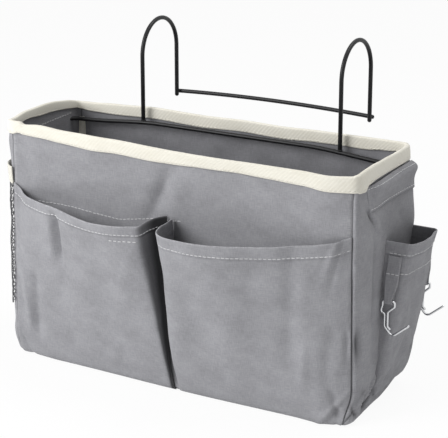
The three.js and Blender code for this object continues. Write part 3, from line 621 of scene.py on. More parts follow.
def woven(name, colour, thread, contrast=0.1, depth=0.1, roughness=0.9):
    """Plain woven canvas of heathered yarn: matt, a little fuzzy, with short pale and dark slubs both ways,
    paler where folds are rubbed, and darkened by painted shade along seams, in crease hollows and in recesses.
    The yarn is drawn thicker than it is, so that the weave shows."""
    material, shader, add = new_material(
        name, Roughness=roughness, Sheen_Weight=0.06, Sheen_Roughness=0.5, Specular_IOR_Level=0.2
    )
    uv = add("TexCoord", out="UV")
    warp, weft = (add("TexWave", way, "Fac", Vector=uv, Scale=bands(thread)) for way in (ACROSS, ALONG))
    long_slub, tall_slub = (
        add("TexNoise", Vector=add("Mapping", Vector=uv, Scale=size), Scale=1.0, Roughness=0.6)
        for size in (grains(6.0, 0.6), grains(0.6, 6.0))
    )
    slub = add("Math", ADD, i0=long_slub, i1=tall_slub)
    cloud_place = add("Mapping", Vector=uv, Scale=grains(26.0, 18.0))
    cloud = add("TexNoise", Vector=cloud_place, Scale=1.0, Detail=4.0, Roughness=0.55)
    share = add("MapRange", i0=slub, i1=0.8, i2=1.2)
    heather = add("Mix", COLOURS, 2, i0=share, i6=tinted(colour, 1 - contrast), i7=tinted(colour, 1 + contrast))
    shade = tinted((1, 1, 1), 1 - 1.6 * contrast)
    cloud_share = add("MapRange", i0=cloud, i1=0.35, i2=0.7)
    clouded = add("Mix", {**COLOURS, "blend_type": "MULTIPLY"}, 2, i0=cloud_share, i6=heather, i7=shade)
    wear = add("Attribute", {"attribute_name": "wear"}, "Fac")
    rub = add("Math", MULTIPLY, i0=add("MapRange", i0=wear), i1=share)
    rubbed = add("Mix", COLOURS, 2, i0=rub, i6=clouded, i7=linear(WORN_YARN))
    # Painted shade: below 0 the attribute darkens the cloth towards a deep tone of its own colour
    painted_shade = add("MapRange", i0=wear, i1=-1.0, i2=0.0, i3=1.0, i4=0.0)
    shaded = add("Mix", COLOURS, 2, i0=painted_shade, i6=rubbed, i7=tinted(colour, 0.12))
    height = add("Math", ADD, i0=add("Math", MULTIPLY, i0=warp, i1=weft), i1=slub)
    feed(shader, Base_Color=shaded, Normal=add("Bump", Strength=0.5, Distance=depth * MM, Height=height))
    return material


def twill_tape(name, colour, rib):
    """Cotton twill tape: cream and matt, with slanting ribs that only just show, and yarn of uneven colour.
    The ribs are drawn coarser than they are, so that they show."""
    material, shader, add = new_material(
        name, Roughness=0.92, Sheen_Weight=0.15, Sheen_Roughness=0.6, Specular_IOR_Level=0.2
    )
    uv = add("TexCoord", out="UV")
    slanted = add("Mapping", Vector=uv, Rotation=(0, 0, 0.75))
    ribs = add(
        "TexWave", ACROSS, "Fac", Vector=slanted, Scale=bands(rib), Distortion=0.8, Detail=1.0, Detail_Scale=0.6
    )
    uneven = add("TexNoise", Vector=add("Mapping", Vector=uv, Scale=grains(3.0, 0.6)), Scale=1.0, Detail=3.0)
    cloud = add("TexNoise", Vector=add("Mapping", Vector=uv, Scale=grains(26.0, 9.0)), Scale=1.0)
    warm, tone = [value * factor for value, factor in zip(colour, (0.78, 0.76, 0.7))] + [1], colour
    # What is warmer: the grooves between the ribs, some of the yarn, and soft clouds
    for pattern, *ranges in ((ribs, 0.0, 0.4, 0.15, 0.0), (uneven, 0.3, 0.7, 0.2, 0.0), (cloud, 0.45, 0.75, 0.0, 0.3)):
        low, high, first, last = ranges
        share = add("MapRange", i0=pattern, i1=low, i2=high, i3=first, i4=last)
        tone = add("Mix", COLOURS, 2, i0=share, i6=tone, i7=warm)
    height = add("Math", ADD, i0=ribs, i1=add("Math", MULTIPLY, i0=uneven, i1=0.5))
    feed(shader, Base_Color=tone, Normal=add("Bump", Strength=0.6, Distance=0.17 * MM, Height=height))
    return material


def braided_elastic(name, colour, rib):
    """Braided elastic: cream, with close ribs along it, shorter ones across, and a fuzzy face."""
    material, shader, add = new_material(name, Roughness=0.85, Sheen_Weight=0.3, Specular_IOR_Level=0.2)
    uv = add("TexCoord", out="UV")
    ribs = add("TexWave", ALONG, "Fac", Vector=uv, Scale=bands(rib), Distortion=0.3)
    cross = add("TexWave", ACROSS, "Fac", Vector=uv, Scale=bands(rib * 0.8), Distortion=0.5)
    braid = add("Math", MULTIPLY, i0=ribs, i1=add("MapRange", i0=cross, i3=0.5))
    share = add("MapRange", i0=braid, i2=0.5, i3=0.7, i4=0.0)
    ribbed = add("Mix", COLOURS, 2, i0=share, i6=colour, i7=tinted(colour, 0.62))
    feed(shader, Base_Color=ribbed, Normal=add("Bump", Strength=0.8, Distance=0.3 * MM, Height=braid))
    return material


def yarn(name, colour, roughness=0.7):
    """Twisted polyester yarn or sewing thread: a soft gloss, with the twist as fine colour change."""
    material, shader, add = new_material(name, Roughness=roughness, Sheen_Weight=0.3)
    place = add("TexCoord", out="Object")
    twist = add("TexNoise", Vector=add("Mapping", Vector=place, Scale=grains(0.7)), Scale=1.0)
    share = add("MapRange", i0=twist, i1=0.35, i2=0.65, i4=0.6)
    feed(shader, Base_Color=add("Mix", COLOURS, 2, i0=share, i6=colour, i7=tinted(colour, 0.6)))
    return material


def powder_coat(name, colour):
    """Black powder coat on steel wire: semi-gloss, with the faint orange peel that the oven leaves."""
    material, shader, add = new_material(name, Coat_Weight=0.04, Coat_Roughness=0.25, Specular_IOR_Level=0.28)
    place = add("TexCoord", out="Object")
    peel = add("TexNoise", Vector=add("Mapping", Vector=place, Scale=grains(1.4)), Scale=1.0)
    haze = add("TexNoise", Vector=add("Mapping", Vector=place, Scale=grains(14.0)), Scale=1.0, Detail=3.0)
    share, dusty = add("MapRange", i0=haze, i1=0.45, i2=0.75, i4=0.5), [v * 2.2 + 0.004 for v in colour[:3]] + [1]
    hazed = add("Mix", COLOURS, 2, i0=share, i6=colour, i7=dusty)
    gloss = add("MapRange", i0=haze, i1=0.3, i2=0.7, i3=0.36, i4=0.48)
    bump = add("Bump", Strength=0.35, Distance=0.08 * MM, Height=peel)
    feed(shader, Base_Color=hazed, Roughness=gloss, Normal=bump)
    return material


def bright_plate(name, colour):
    """Nickel plate on bent steel wire: mirror bright, with fine drawing marks and soft darker blooms."""
    material, shader, add = new_material(name, Metallic=1.0)
    place = add("TexCoord", out="Object")
    marks = add("TexNoise", Vector=add("Mapping", Vector=place, Scale=grains(0.5, 0.5, 6.0)), Scale=1.0)
    bloom = add("TexNoise", Vector=add("Mapping", Vector=place, Scale=grains(4.0)), Scale=1.0)
    share = add("MapRange", i0=bloom, i1=0.5, i2=0.8, i4=0.5)
    bloomed = add("Mix", COLOURS, 2, i0=share, i6=colour, i7=tinted(colour, 0.78))
    feed(shader, Base_Color=bloomed, Roughness=add("MapRange", i0=marks, i1=0.3, i2=0.7, i3=0.06, i4=0.14))
    return material


FINISHES = {}


def make_finishes(looks):
    """Makes each finish once, from the colours in the panel."""
    if FINISHES:
        return
    tones = {name: [*getattr(looks, name), 1.0] for name in CaddyLookSettings.__annotations__}
    FINISHES.update(
        canvas=woven("Heathered Canvas", tones["canvas"], 1.0),
        lining=woven("Lining Cloth", tones["lining"], 0.8, depth=0.06),
        tape=twill_tape("Cotton Twill Tape", tones["binding"], 2.5),
        elastic=braided_elastic("Braided Elastic", tones["binding"], 1.3),
        net=yarn("Knitted Net Yarn", tones["net"], 0.8),
        board=woven("Covered Board", tones["lining"], 1.2, contrast=0.05, roughness=0.75),
        coat=powder_coat("Black Powder Coat", tones["frame"]),
        plate=bright_plate("Bright Nickel Plate", tones["hooks"]),
        thread=yarn("Grey Sewing Thread", tones["thread"]),
        tape_thread=yarn("Cream Sewing Thread", tones["binding"]),
    )


# Settings that a user would change


def span(name, description, default, least=0.0):
    """A setting for a length, from millimetres."""
    return FloatProperty(
        name=name, description=description, default=default * MM, min=least * MM, unit="LENGTH", subtype="DISTANCE"
    )


def angle(name, description, degrees):
    return FloatProperty(
        name=name, description=description, default=math.radians(degrees), unit="ROTATION", subtype="ANGLE"
    )


def amount(name, description, default):
    return FloatProperty(name=name, description=description, default=default, min=0.0)


def colour_setting(name, description, code):
    return FloatVectorProperty(
        name=name, description=description, default=linear(code)[:3], subtype="COLOR", size=3, min=0.0, max=1.0
    )


class CaddyBagSettings(bpy.types.PropertyGroup):
    grid: span("Cloth Grid", "Spacing of the cloth's points", 2.6, least=1)
    crease_depth: span("Crease Depth", "How deeply the walls sag and crease", 1.0)


class CaddySewingSettings(bpy.types.PropertyGroup):
    pitch: span("Stitch Pitch", "Distance from stitch to stitch", 3.7)
    length: span("Stitch Length", "Length of a stitch on the face", 3.3)
    thread: span("Thread Width", "Width of the sewing thread", 0.72)
    hem: span("Hem Width", "Width of the right pocket's folded hem", 10.3)


class CaddyNetSettings(bpy.types.PropertyGroup):
    cell: span("Net Cell", "Width of one opening of the net", 3.6)
    yarn: span("Net Yarn", "Width of the net's yarn", 0.8)


class CaddyWireSettings(bpy.types.PropertyGroup):
    frame_wire: span("Frame Wire", "Diameter of the frame's wire", 3.7)
    hook_wire: span("Hook Wire", "Diameter of the hooks' wire", 2.0)
    sides: IntProperty(name="Wire Sides", description="Number of faces round a wire", default=20, min=8)


class CaddyLookSettings(bpy.types.PropertyGroup):
    canvas: colour_setting("Canvas", "Colour of the outer cloth", "#9b9b9f")
    lining: colour_setting("Lining", "Colour of the inner cloth", "#88888c")
    binding: colour_setting("Binding", "Colour of the rim binding, the tapes and the elastic", "#e9e6db")
    net: colour_setting("Net", "Colour of the net's yarn", "#4a4a4e")
    frame: colour_setting("Frame", "Colour of the painted wire", "#0f0f11")
    hooks: colour_setting("Hooks", "Colour of the plated hooks", "#cdced0")
    thread: colour_setting("Thread", "Colour of the sewing thread on the canvas", "#e2e2e4")


class CaddyStageSettings(bpy.types.PropertyGroup):
    azimuth: angle("Camera Azimuth", "Camera's turn round the caddy", 28.83)
    elevation: angle("Camera Elevation", "Camera's height above the horizon", 18.33)
    distance: span("Camera Distance", "Camera's distance from its target", 1432)
    target: FloatVectorProperty(
        name="Camera Target", description="Point that the camera looks at", default=(0.01909, 0.0, 0.13531),
        subtype="TRANSLATION", size=3,
    )
    lens: amount("Lens", "Focal length in millimetres", 137.66)
    key: amount("Key Light", "Power of the main soft light, in watts", 24.5)
    fill: amount("Fill Light", "Power of the fill light, in watts", 0.5)
    sky: amount("Surroundings", "Strength of the white surroundings", 0.36)


# Cloth pieces

# Rows of points above the turned foot, how far apart, and the heights between which the corners become round
FOOT_ROWS, FOOT_STEP, ROUND_LEVEL, LEAST_ROUNDING = 16, 1.7, (184, 203), 0.2
# Rubbed yarn, above 0, and painted shade in the seams and in the gap between the front pockets, below 0: how much,
# where and how wide, in millimetres
FOOT_RUB, SEAM_RUB, SEAM_SHADE, DIVIDER_SHADE = (0.35, 4, 3), (0.3, 2.6, 0.8), (-0.75, 0, 0.7), (-0.85, 2.0, 6.5)
# Heights between which the painted shade beside the divider ends, and the painted shade of the hollows and the rub of
# the ridges of creases narrower than a width
DIVIDER_SHADE_END, HOLLOW_SHADE, RIDGE_RUB, SHARP_CREASE = (120, 156), 0.3, 0.12, 4.5
# Spacing of the base's points, and how far the board's corners and edges are rounded
BASE_STEP, BOARD_CORNER, BOARD_EDGE = 6.0, 8, 0.7
# The tapes' lowest end, width, thickness, distance off the wall, and how much of a corner they turn
TAPE_FOOT, TAPE_WIDTH, TAPE_THICK, TAPE_EASE, TAPE_TURN = 12.0, 9.0, 0.8, 0.4, 0.42
# How the folded binding stands off the wall, and the shares of its width at which it is sewn
BINDING_RISE, BINDING_PUFF, BINDING_LIFT, INNER_LIFT, RIM_SEWING = 0.6, 0.35, 0.45, 0.6, (0.05, 0.95)
LIFT_WAVES, LIFT_BUMP = ((RIM_LENGTH / 17, 0.2, 0.5), (RIM_LENGTH / 29, 0.15, 1.9)), (0.9, 338, 7)


def shell_points(step):
    """The walls as one band of cloth, from the turned foot up into the binding. With each point comes its distance
    to a seam and how far the sharper creases stand out there."""
    full = cloth_to(BAG_HEIGHT - BINDING_THICK - SEAT)
    low = FOOT_ARC + np.arange(1, FOOT_ROWS + 1) * FOOT_STEP
    rows = np.concatenate([np.linspace(0, FOOT_ARC, 6), low, np.linspace(low[-1], full, int(full / step))[1:]])
    columns, seams, shades = [], [], []
    for side, run in around(step):
        x, y, _, _ = wall_plan(side, run, BAG_HEIGHT, 0.0)
        top = cloth_to(rim_height(x, y, rim_place(side, run)) - BINDING_THICK - SEAT)
        h = rows[:, None] / full * top[None, :]
        columns.append(wall_point(side, run[None, :], h)[:, :-1])
        seams.append(half_run(side) * (1 - abs(run[:-1])))
        along, h = half_run(side) * run[None, :-1], h[:, :-1]
        shades.append(creased(side, along, height_of(h), SHARP_CREASE) + 0 * h)
    points, seams, shades = np.concatenate(columns, axis=1), np.concatenate(seams), np.concatenate(shades, axis=1)
    for row in points:
        reach = RIM_ROUNDING * float(smooth(row[:, 2].mean(), *ROUND_LEVEL))
        if reach > LEAST_ROUNDING:
            row[:, :2] = softened(row[:, :2], reach)
    return [np.concatenate([loop, loop[:, :1]], axis=1) for loop in (points, seams[None, :] + 0 * shades, shades)]


class CADDY_OT_bag(bpy.types.Operator):
    """Makes the bag's lined walls and its flat base"""

    bl_idname = "caddy.bag"
    bl_label = "Bag"

    def execute(self, context):
        points, seams, shades = shell_points(context.scene.caddy_bag.grid / MM)
        x, y, height = np.moveaxis(points, -1, 0)
        # Rubbed yarn at the foot and beside the seams, and painted shade in the seams
        wear = band(height, FOOT_RUB) + band(seams, SEAM_RUB) + band(seams, SEAM_SHADE)
        # Painted shade on the front wall in the deep, narrow gap between the two pockets
        wear = wear + (y < 0) * band(x, DIVIDER_SHADE) * (1 - smooth(height, *DIVIDER_SHADE_END))
        # Painted shade in the hollows of sharp creases, and rubbed yarn on their ridges
        wear = wear + np.where(shades < 0, HOLLOW_SHADE, RIDGE_RUB) * shades
        shell = cloth("bag_walls", points, WALL, [FINISHES["canvas"], FINISHES["lining"]], True, 0, wear)
        settle(shell, "caddy", "canvas", "front_panel", "back_panel", "left_panel", "right_panel")
        outline = np.concatenate(
            [
                np.stack(wall_plan(side, run, FACE, FOOT_RADIUS + SEAT)[:2], axis=-1)[:-1]
                for side, run in around(BASE_STEP)
            ]
        )
        outline = np.concatenate([outline, outline[:1]])
        rings = np.linspace(1, 0.0, 12)[:, None, None]
        spine = np.clip(outline[:, :1], -HALF_WIDTH + HALF_DEPTH, HALF_WIDTH - HALF_DEPTH) * [1, 0]
        flat = spine + (outline - spine) * rings
        height = np.full(flat.shape[:2], FACE)
        points = np.concatenate([flat, height[..., None]], axis=-1)
        base = cloth("bag_base", points, WALL, [FINISHES["canvas"]], True, 0)
        settle(base, "caddy", "canvas", "bottom_panel")
        return {"FINISHED"}


class CADDY_OT_board(bpy.types.Operator):
    """Makes the covered board that keeps the base flat"""

    bl_idname = "caddy.board"
    bl_label = "Base Board"

    def execute(self, context):
        low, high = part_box("base_board")
        clear_selection()
        bpy.ops.mesh.primitive_cube_add(size=1, location=(low + high) / 2)
        board = bpy.context.object
        board.name = board.data.name = "covered_board"
        board.dimensions = high - low
        bpy.ops.object.transform_apply(location=True, rotation=True, scale=True)
        edit(board, "DESELECT")
        for edge in bmesh.from_edit_mesh(board.data).edges:
            a, b = (vertex.co for vertex in edge.verts)
            edge.select = abs(a.z - b.z) > 1 * MM
        bmesh.update_edit_mesh(board.data)
        bpy.ops.mesh.bevel(offset=BOARD_CORNER * MM, segments=8)
        bpy.ops.object.mode_set(mode="OBJECT")
        apply_modifier(board, "BEVEL", width=BOARD_EDGE * MM, segments=3, limit_method="ANGLE")
        edit(board)
        bpy.ops.uv.cube_project(cube_size=1.0, scale_to_bounds=False)
        bpy.ops.object.mode_set(mode="OBJECT")
        board.data.materials.append(FINISHES["board"])
        bpy.ops.object.shade_smooth_by_angle(angle=math.radians(40))
        settle(board, "caddy", "board", "base_board")
        return {"FINISHED"}


def binding_rows(step):
    """Stations round the rim: place in plan, rim's height, outward direction and place round the rim."""
    parts = []
    for side, run in around(step):
        x, y, nx, ny = wall_plan(side, run, BAG_HEIGHT, 0.0)
        place = rim_place(side, run)
        sway = rim_sway(place)
        parts.append(np.stack([x + nx * sway, y + ny * sway, rim_height(x, y, place), place], axis=-1)[:-1])
    x, y, rim, place = np.concatenate(parts).T
    plan = softened(np.stack([x, y], axis=-1), RIM_ROUNDING)
    along = unit(np.roll(plan, -1, axis=0) - np.roll(plan, 1, axis=0))
    stations = np.stack([*plan.T, rim, along[:, 1], -along[:, 0], place], axis=-1)
    return np.concatenate([stations, stations[:1] + [0, 0, 0, 0, 0, RIM_LENGTH]])


def binding_surface(stations):
    """The folded binding: v runs from 0 at its outer edge over the rim, from 1/3 to 2/3, to 1 at its inner edge."""
    x, y, rim, nx, ny, place = stations.T
    mid, rise = FACE + SEAT + BINDING_THICK / 2, BINDING_RISE
    roof = rim - BINDING_THICK / 2 - rise
    outer, inner = (eased(place, RIM_ROWS[:, 0], RIM_ROWS[:, k]) - BINDING_THICK / 2 - rise for k in (2, 3))
    lift = BINDING_LIFT + waves(place, LIFT_WAVES) + band(place, LIFT_BUMP)

    def surface(v):
        v = np.asarray(v, float)[:, None]
        angle = np.clip(3 * v - 1, 0, 1) * math.pi
        out_leg, in_leg = np.clip(1 - 3 * v, 0, 1), np.clip(3 * v - 2, 0, 1)
        puff = BINDING_PUFF * (np.sin(math.pi * out_leg) - np.sin(math.pi * in_leg))
        away = mid * np.cos(angle) + puff + lift * out_leg**2 - INNER_LIFT * lift * in_leg**2
        z = roof + rise * np.sin(angle) - outer * out_leg - inner * in_leg
        return np.stack([x + nx * away, y + ny * away, z], axis=-1)

    return surface


class CADDY_OT_binding(bpy.types.Operator):
    """Makes the twill binding that is folded over the rim"""

    bl_idname = "caddy.binding"
    bl_label = "Rim Binding"

    def execute(self, context):
        surface = binding_surface(binding_rows(context.scene.caddy_bag.grid / MM))
        legs = np.linspace(0, 1 / 3, 7)
        rows = np.concatenate([legs, np.linspace(1 / 3, 2 / 3, 7)[1:-1], 1 - legs[::-1]])
        binding = cloth("rim_tape", surface(rows), BINDING_THICK, [FINISHES["tape"]], True, 1)
        settle(binding, "caddy", "webbing", "rim_binding")
        lines = []
        for share in RIM_SEWING:
            path = surface([share])[0]
            across = surface([share + 0.01])[0] - surface([share - 0.01])[0]
            normal = unit(np.cross(np.gradient(path, axis=0), across))
            lines.append((path + normal * (BINDING_THICK / 2), normal))
        stitches("rim_stitches", lines, FINISHES["tape_thread"], slot="webbing")
        return {"FINISHED"}


class CADDY_OT_tapes(bpy.types.Operator):
    """Makes the tapes over the upright inner seams"""

    bl_idname = "caddy.tapes"
    bl_label = "Seam Tapes"

    def execute(self, context):
        away = -(FACE + SEAT + TAPE_EASE)
        up = cloth_to(np.linspace(TAPE_FOOT, BAG_HEIGHT - BINDING_HEIGHT - SEAT - LEFT_LIFT, 60)[:, None])
        on_wall = np.linspace(1, 0, 6)[None, :-1] * TAPE_WIDTH / 2 / HALF_WIDTH
        on_side = np.linspace(0, 1, 7)[None, 1:] * CORNER_SHARE * TAPE_TURN
        for end, t, wall in (("front", -1, "front"), ("rear", 1, "back")):
            for side, out in (("left", -1), ("right", 1)):
                flat = wall_point(wall, out * (1 - on_wall), up, away)
                turned = wall_point(side, t * (1 - on_side), up, away)
                points = np.concatenate([flat, turned], axis=1)
                if (out == 1) == (t == -1):
                    points = points[:, ::-1]
                tape = cloth(f"{end}_{side}_tape", points, TAPE_THICK, [FINISHES["tape"]])
                settle(tape, "caddy", "webbing", f"{end}_{side}_seam_tape")
        return {"FINISHED"}


# Front pockets

# How the cloth beside the sewing between the pockets leans: how far, and between which heights it changes
FOOT_LEAN, LOW_LEAN, HIGH_LEAN = (5.2, -4, 26), (2.3, 20, 56), (1.2, 110, 150)
RIGHT_LEAN_SHARE, LEFT_FOLD_START, LEFT_FOLD, LEFT_FOLD_TOP = 0.3, 0.4, 14.5, 120
LEFT_RETURN, RETURN_WIDTH = 0.915, 0.085
# How far a hem stands out, how wide its edge is rounded, and the puckers along its sewing
HEM_PROUD, HEM_EDGE, PUCKER, PUCKER_WIDTH, PUCKER_PITCH = 0.45, 0.7, 0.14, 3.0, 6.3
EASE_WAVES = ((37, 0.22, 0.3), (19, 0.1, 1.0))
# Rubbed yarn at a pocket's mouth and on its hem's edge, the painted shade just below that edge, and how far below the
# edge that shade lies, in millimetres
MOUTH_RUB, HEM_RUB, HEM_SHADE, HEM_SHADE_GAP = (0.45, 0, 1.3), 0.2, -0.25, 1.6
# Shade in the left pocket's return, and how sewing lies: off the cloth, and the height that stands for a whole pocket
RETURN_SHADE, RETURN_RUN, THREAD_SEAT, SEWN_HEIGHT = 1.1, (0.895, 0.96), 0.05, 150
# A line of sewing on the front wall: places along it and heights
WALL_SEWING = np.array([(-130, 144), (-92, 144.2), (-70, 142), (-48, 140.7), (-20, 145.7), (10, 148)])

HEM_HEIGHT, DIVIDER_GAP, DIVIDER_X = 158.0, 4.5, 4.0
LEFT_BILLOW, RIGHT_BILLOW, LEFT_DIP, RIGHT_DIP = 35.0, 37.0, 11.5, 12.0
BILLOW_POWER, POCKET_INSET, FOOT_TURN_SHARE = 1.08, 0.6, 0.46
LEFT_HEM_SHARE, INNER_SEWING, INNER_SEWING_RUN = 0.78, 194.0, (-26, 44)
# Share of the way along the pocket, share of its billow, share of its hem dip
LEFT_HEM = [
    (0, 0, 0), (0.06, 0.04, 0.35), (0.16, 0.3, 0.64), (0.28, 0.5, 0.75), (0.38, 0.66, 0.68), (0.52, 0.83, 0.88),
    (0.64, 0.94, 0.99), (0.75, 1, 0.9), (0.85, 0.98, 0.8), (0.915, 0.86, 0.76), (0.935, 0.56, 0.64),
    (0.955, 0.25, 0.58), (0.985, 0.06, 0.56), (1, 0, 0.56),
]
RIGHT_HEM = [
    (0, 0, 0.7), (0.008, 0.3, 0.7), (0.01, 0.62, 0.72), (0.03, 0.88, 0.9), (0.09, 0.99, 0.98), (0.19, 1, 1),
    (0.32, 0.97, 0.98), (0.5, 0.75, 0.9), (0.66, 0.5, 0.78), (0.8, 0.28, 0.6), (0.92, 0.12, 0.36),
    (0.97, 0.04, 0.16), (1, 0, 0),
]
# Soft folds: share along, width, depth in millimetres, lowest and highest share of the height, slant
LEFT_FOLDS = [
    (0.17, 0.036, -8.0, 0.04, 0.6, 0.0), (-0.05, 0.03, 5.0, 0.1, 0.66, -0.22),
    (-0.263, 0.018, -7, -0.08, 0.16, -0.333), (0.62, 0.08, -1.6, 0.1, 0.9, -0.05),
    (0.08, 0.03, 1.6, 0.3, 1.0, 0.02), (0.8, 0.05, 1.4, 0.3, 0.8, 0.08), (0.4, 0.06, 1.4, 0.02, 0.4, -0.2),
    (0.9, 0.03, 1.6, 0.02, 0.3, 0.3), (0.5, 0.03, -1.0, 0.3, 0.8, 0.25),
]
RIGHT_FOLDS = [
    (0.4, 0.09, 1.4, 0.0, 0.8, 0.05), (0.74, 0.05, -3.0, 0.2, 1.1, 0.06), (0.9, 0.035, -5.6, 0.14, 0.52, 0.0),
    (0.82, 0.032, 4.2, 0.1, 0.5, 0.05), (0.945, 0.016, 2.4, 0.7, 1.1, 0.3), (0.965, 0.014, -2.2, 0.64, 1.1, 0.2),
    (0.2, 0.06, -1.2, 0.2, 0.8, 0.05), (0.668, 0.016, -5.4, -0.08, 0.26, -0.308),
    (1.517, 0.015, 4.4, -0.08, 0.24, 0.636), (0.55, 0.05, -1.2, 0.5, 0.95, 0.1),
]
# A pleat falls away slowly and comes back at a sharp edge: its two ends along the pocket, its depth and its heights
LEFT_PLEAT, RIGHT_PLEAT = (0.3, 0.372, 8.0, 0.6, 0.99), (0.93, 0.985, 1.2, 0.75, 1.2)


def row_curve(rows):
    """A smooth centripetal run through rows, read at shares from 0 to 1."""
    points = np.asarray(rows, float)
    ends = np.concatenate([[2 * points[0] - points[1]], points, [2 * points[-1] - points[-2]]])

    def at(share):
        share = np.asarray(share, float)
        place = np.clip(share, 0, 1) * (len(points) - 1)
        k = np.minimum(place.astype(int), len(points) - 2)
        w = (place - k)[..., None]
        p0, p1, p2, p3 = (ends[k + j] for j in range(4))
        pairs = ((p0, p1), (p1, p2), (p2, p3))
        d0, d1, d2 = (np.maximum(np.linalg.norm(b - a, axis=-1, keepdims=True) ** 0.5, 1e-4) for a, b in pairs)
        t1 = ((p1 - p0) / d0 - (p2 - p0) / (d0 + d1) + (p2 - p1) / d1) * d1
        t2 = ((p2 - p1) / d1 - (p3 - p1) / (d1 + d2) + (p3 - p2) / d2) * d1
        c2, c3 = -3 * p1 + 3 * p2 - 2 * t1 - t2, 2 * p1 - 2 * p2 + t1 + t2
        return p1 + t1 * w + c2 * w**2 + c3 * w**3

    return at


def pocket_drift(share, z, left):
    """How far the cloth beside the sewing between the two pockets leans to the right."""
    (foot, *foot_range), (low, *low_range), (high, *high_range) = FOOT_LEAN, LOW_LEAN, HIGH_LEAN
    lean = foot * (1 - smooth(z, *foot_range)) - low * smooth(z, *low_range) - high * smooth(z, *high_range)
    if left:
        fold = LEFT_FOLD * np.clip(1 - z / LEFT_FOLD_TOP, -0.07, 1)
        back = np.clip((share - LEFT_RETURN) / RETURN_WIDTH, 0, 1)
        return mix(fold * smooth(share, LEFT_FOLD_START, LEFT_RETURN), lean, back)
    return lean * (1 - smooth(share, 0, RIGHT_LEAN_SHARE))


def front_pocket(rows, from_x, to_x, billow, dip, folds, pleat, hem):
    """A front pocket's cloth, from its turned foot up to its mouth."""
    row = row_curve(rows)
    rest = FACE + SEAT + POCKET_CLOTH / 2
    foot = FOOT_ARC * FOOT_TURN_SHARE
    begin, edge, pleat_depth, pleat_low, pleat_high = pleat

    def surface(u, v):
        u, v = gridded(u, v)
        here = row(u)
        share = here[..., 0]
        full = cloth_to(HEM_HEIGHT - dip * here[..., 2])
        x = mix(from_x, to_x, share) + pocket_drift(share, v * full, from_x < 0)
        free = np.clip(here[..., 1], 0, 1) * np.clip(v, 0, 1) ** 0.5
        out = billow * here[..., 1] * v**BILLOW_POWER
        for centre, width, depth, low, high, slant in folds:
            level = smooth(v, low, low + 0.2) * (1 - smooth(v, high - 0.15, high))
            out = out + depth * level * np.maximum(free, 0.04) ** 0.35 * bell(share + slant * (1 - v), centre, width)
        fall = smooth(share, begin, edge) * (1 - smooth(share, edge, edge + 0.03))
        rising, ending = smooth(v, pleat_low, pleat_low + 0.12), 1 - smooth(v, pleat_high - 0.1, pleat_high)
        out = out - pleat_depth * fall * rising * ending
        below = (1 - v) * full
        pucker = PUCKER * np.sin(x * 2 * math.pi / PUCKER_PITCH + 2 * np.sin(x / 17)) * bell(below, hem, PUCKER_WIDTH)
        roll = HEM_PROUD * (1 - smooth(below, hem - HEM_EDGE, hem + HEM_EDGE)) + pucker
        roll = roll + waves(x + 0.7 * below, EASE_WAVES) * free
        return wall_point("front", x / HALF_WIDTH, mix(foot, full, v), rest + out + roll)

    return surface


def hem_rub_and_shade(points, hem):
    """Rubbed yarn along a pocket's mouth and along the edge of its hem, and painted shade just below that edge."""
    below = (lengths(points, 0)[-1] - lengths(points, 0))[:, None]
    return band(below, MOUTH_RUB) + HEM_RUB * bell(below, hem, 0.9) + HEM_SHADE * bell(below, hem + HEM_SHADE_GAP, 0.9)


def sewn(surface, start, end, count, v):
    """A line of sewing along a surface, on the face of its cloth."""
    u = np.linspace(start, end, count)
    return lifted(surface, u, np.full_like(u, v), POCKET_CLOTH / 2 + THREAD_SEAT)


class CADDY_OT_front_pockets(bpy.types.Operator):
    """Makes the two front pockets with their hems and stitching"""

    bl_idname = "caddy.front_pockets"
    bl_label = "Front Pockets"

    def execute(self, context):
        seam = HALF_WIDTH - POCKET_INSET
        hem = context.scene.caddy_sewing.hem / MM
        up = np.concatenate([np.linspace(0, 0.9, 50), np.linspace(0.9, 1, 12)[1:]])
        fine = np.linspace(0, 1, 130)
        kinds = (
            ("left", LEFT_HEM, (-seam, DIVIDER_X - DIVIDER_GAP / 2), LEFT_BILLOW, LEFT_DIP, LEFT_FOLDS, LEFT_PLEAT,
             hem * LEFT_HEM_SHARE, (0.176, 0.157)),
            ("right", RIGHT_HEM, (DIVIDER_X + DIVIDER_GAP / 2, seam), RIGHT_BILLOW, RIGHT_DIP, RIGHT_FOLDS, RIGHT_PLEAT,
             hem, (0.178, 0.157)),
        )
        lines = []
        for side, rows, ends, billow, dip, folds, pleat, width, flat in kinds:
            surface = front_pocket(rows, *ends, billow, dip, folds, pleat, width)
            points = surface(fine[None, :], up[:, None])
            wear = hem_rub_and_shade(points, width)
            if side == "left":
                # Painted shade in the return, where the left pocket turns back to the wall beside the divider
                wear = wear - RETURN_SHADE * smooth(row_curve(rows)(fine)[:, 0], *RETURN_RUN)[None, :]
            cloths = [FINISHES["canvas"], FINISHES["lining"]]
            pocket = cloth(f"{side}_pocket", points, POCKET_CLOTH, cloths, wear=wear)
            settle(pocket, "caddy", "canvas", f"{side}_front_pocket")
            lines.append(sewn(surface, 0.01, 0.99, 260, 1 - width / SEWN_HEIGHT))
            if side == "left":
                lines.append(sewn(surface, 0.54, 0.68, 60, 1 - (width + 6) / SEWN_HEIGHT))

        def wall(u, v):
            x = mix(WALL_SEWING[0, 0], WALL_SEWING[-1, 0], u)
            return wall_point("front", x / HALF_WIDTH, cloth_to(np.interp(x, *WALL_SEWING.T) + v))

        def inside(u, v):
            y, z = mix(*INNER_SEWING_RUN, u), INNER_SEWING + v
            return wall_point("left", along_side(y, z), cloth_to(z))

        for surface, count in ((wall, 120), (inside, 60)):
            lines.append(lifted(surface, np.linspace(0, 1, count), np.zeros(count), FACE + THREAD_SEAT))
        stitches("front_pocket_stitches", lines, FINISHES["thread"])
        return {"FINISHED"}


# Net pocket

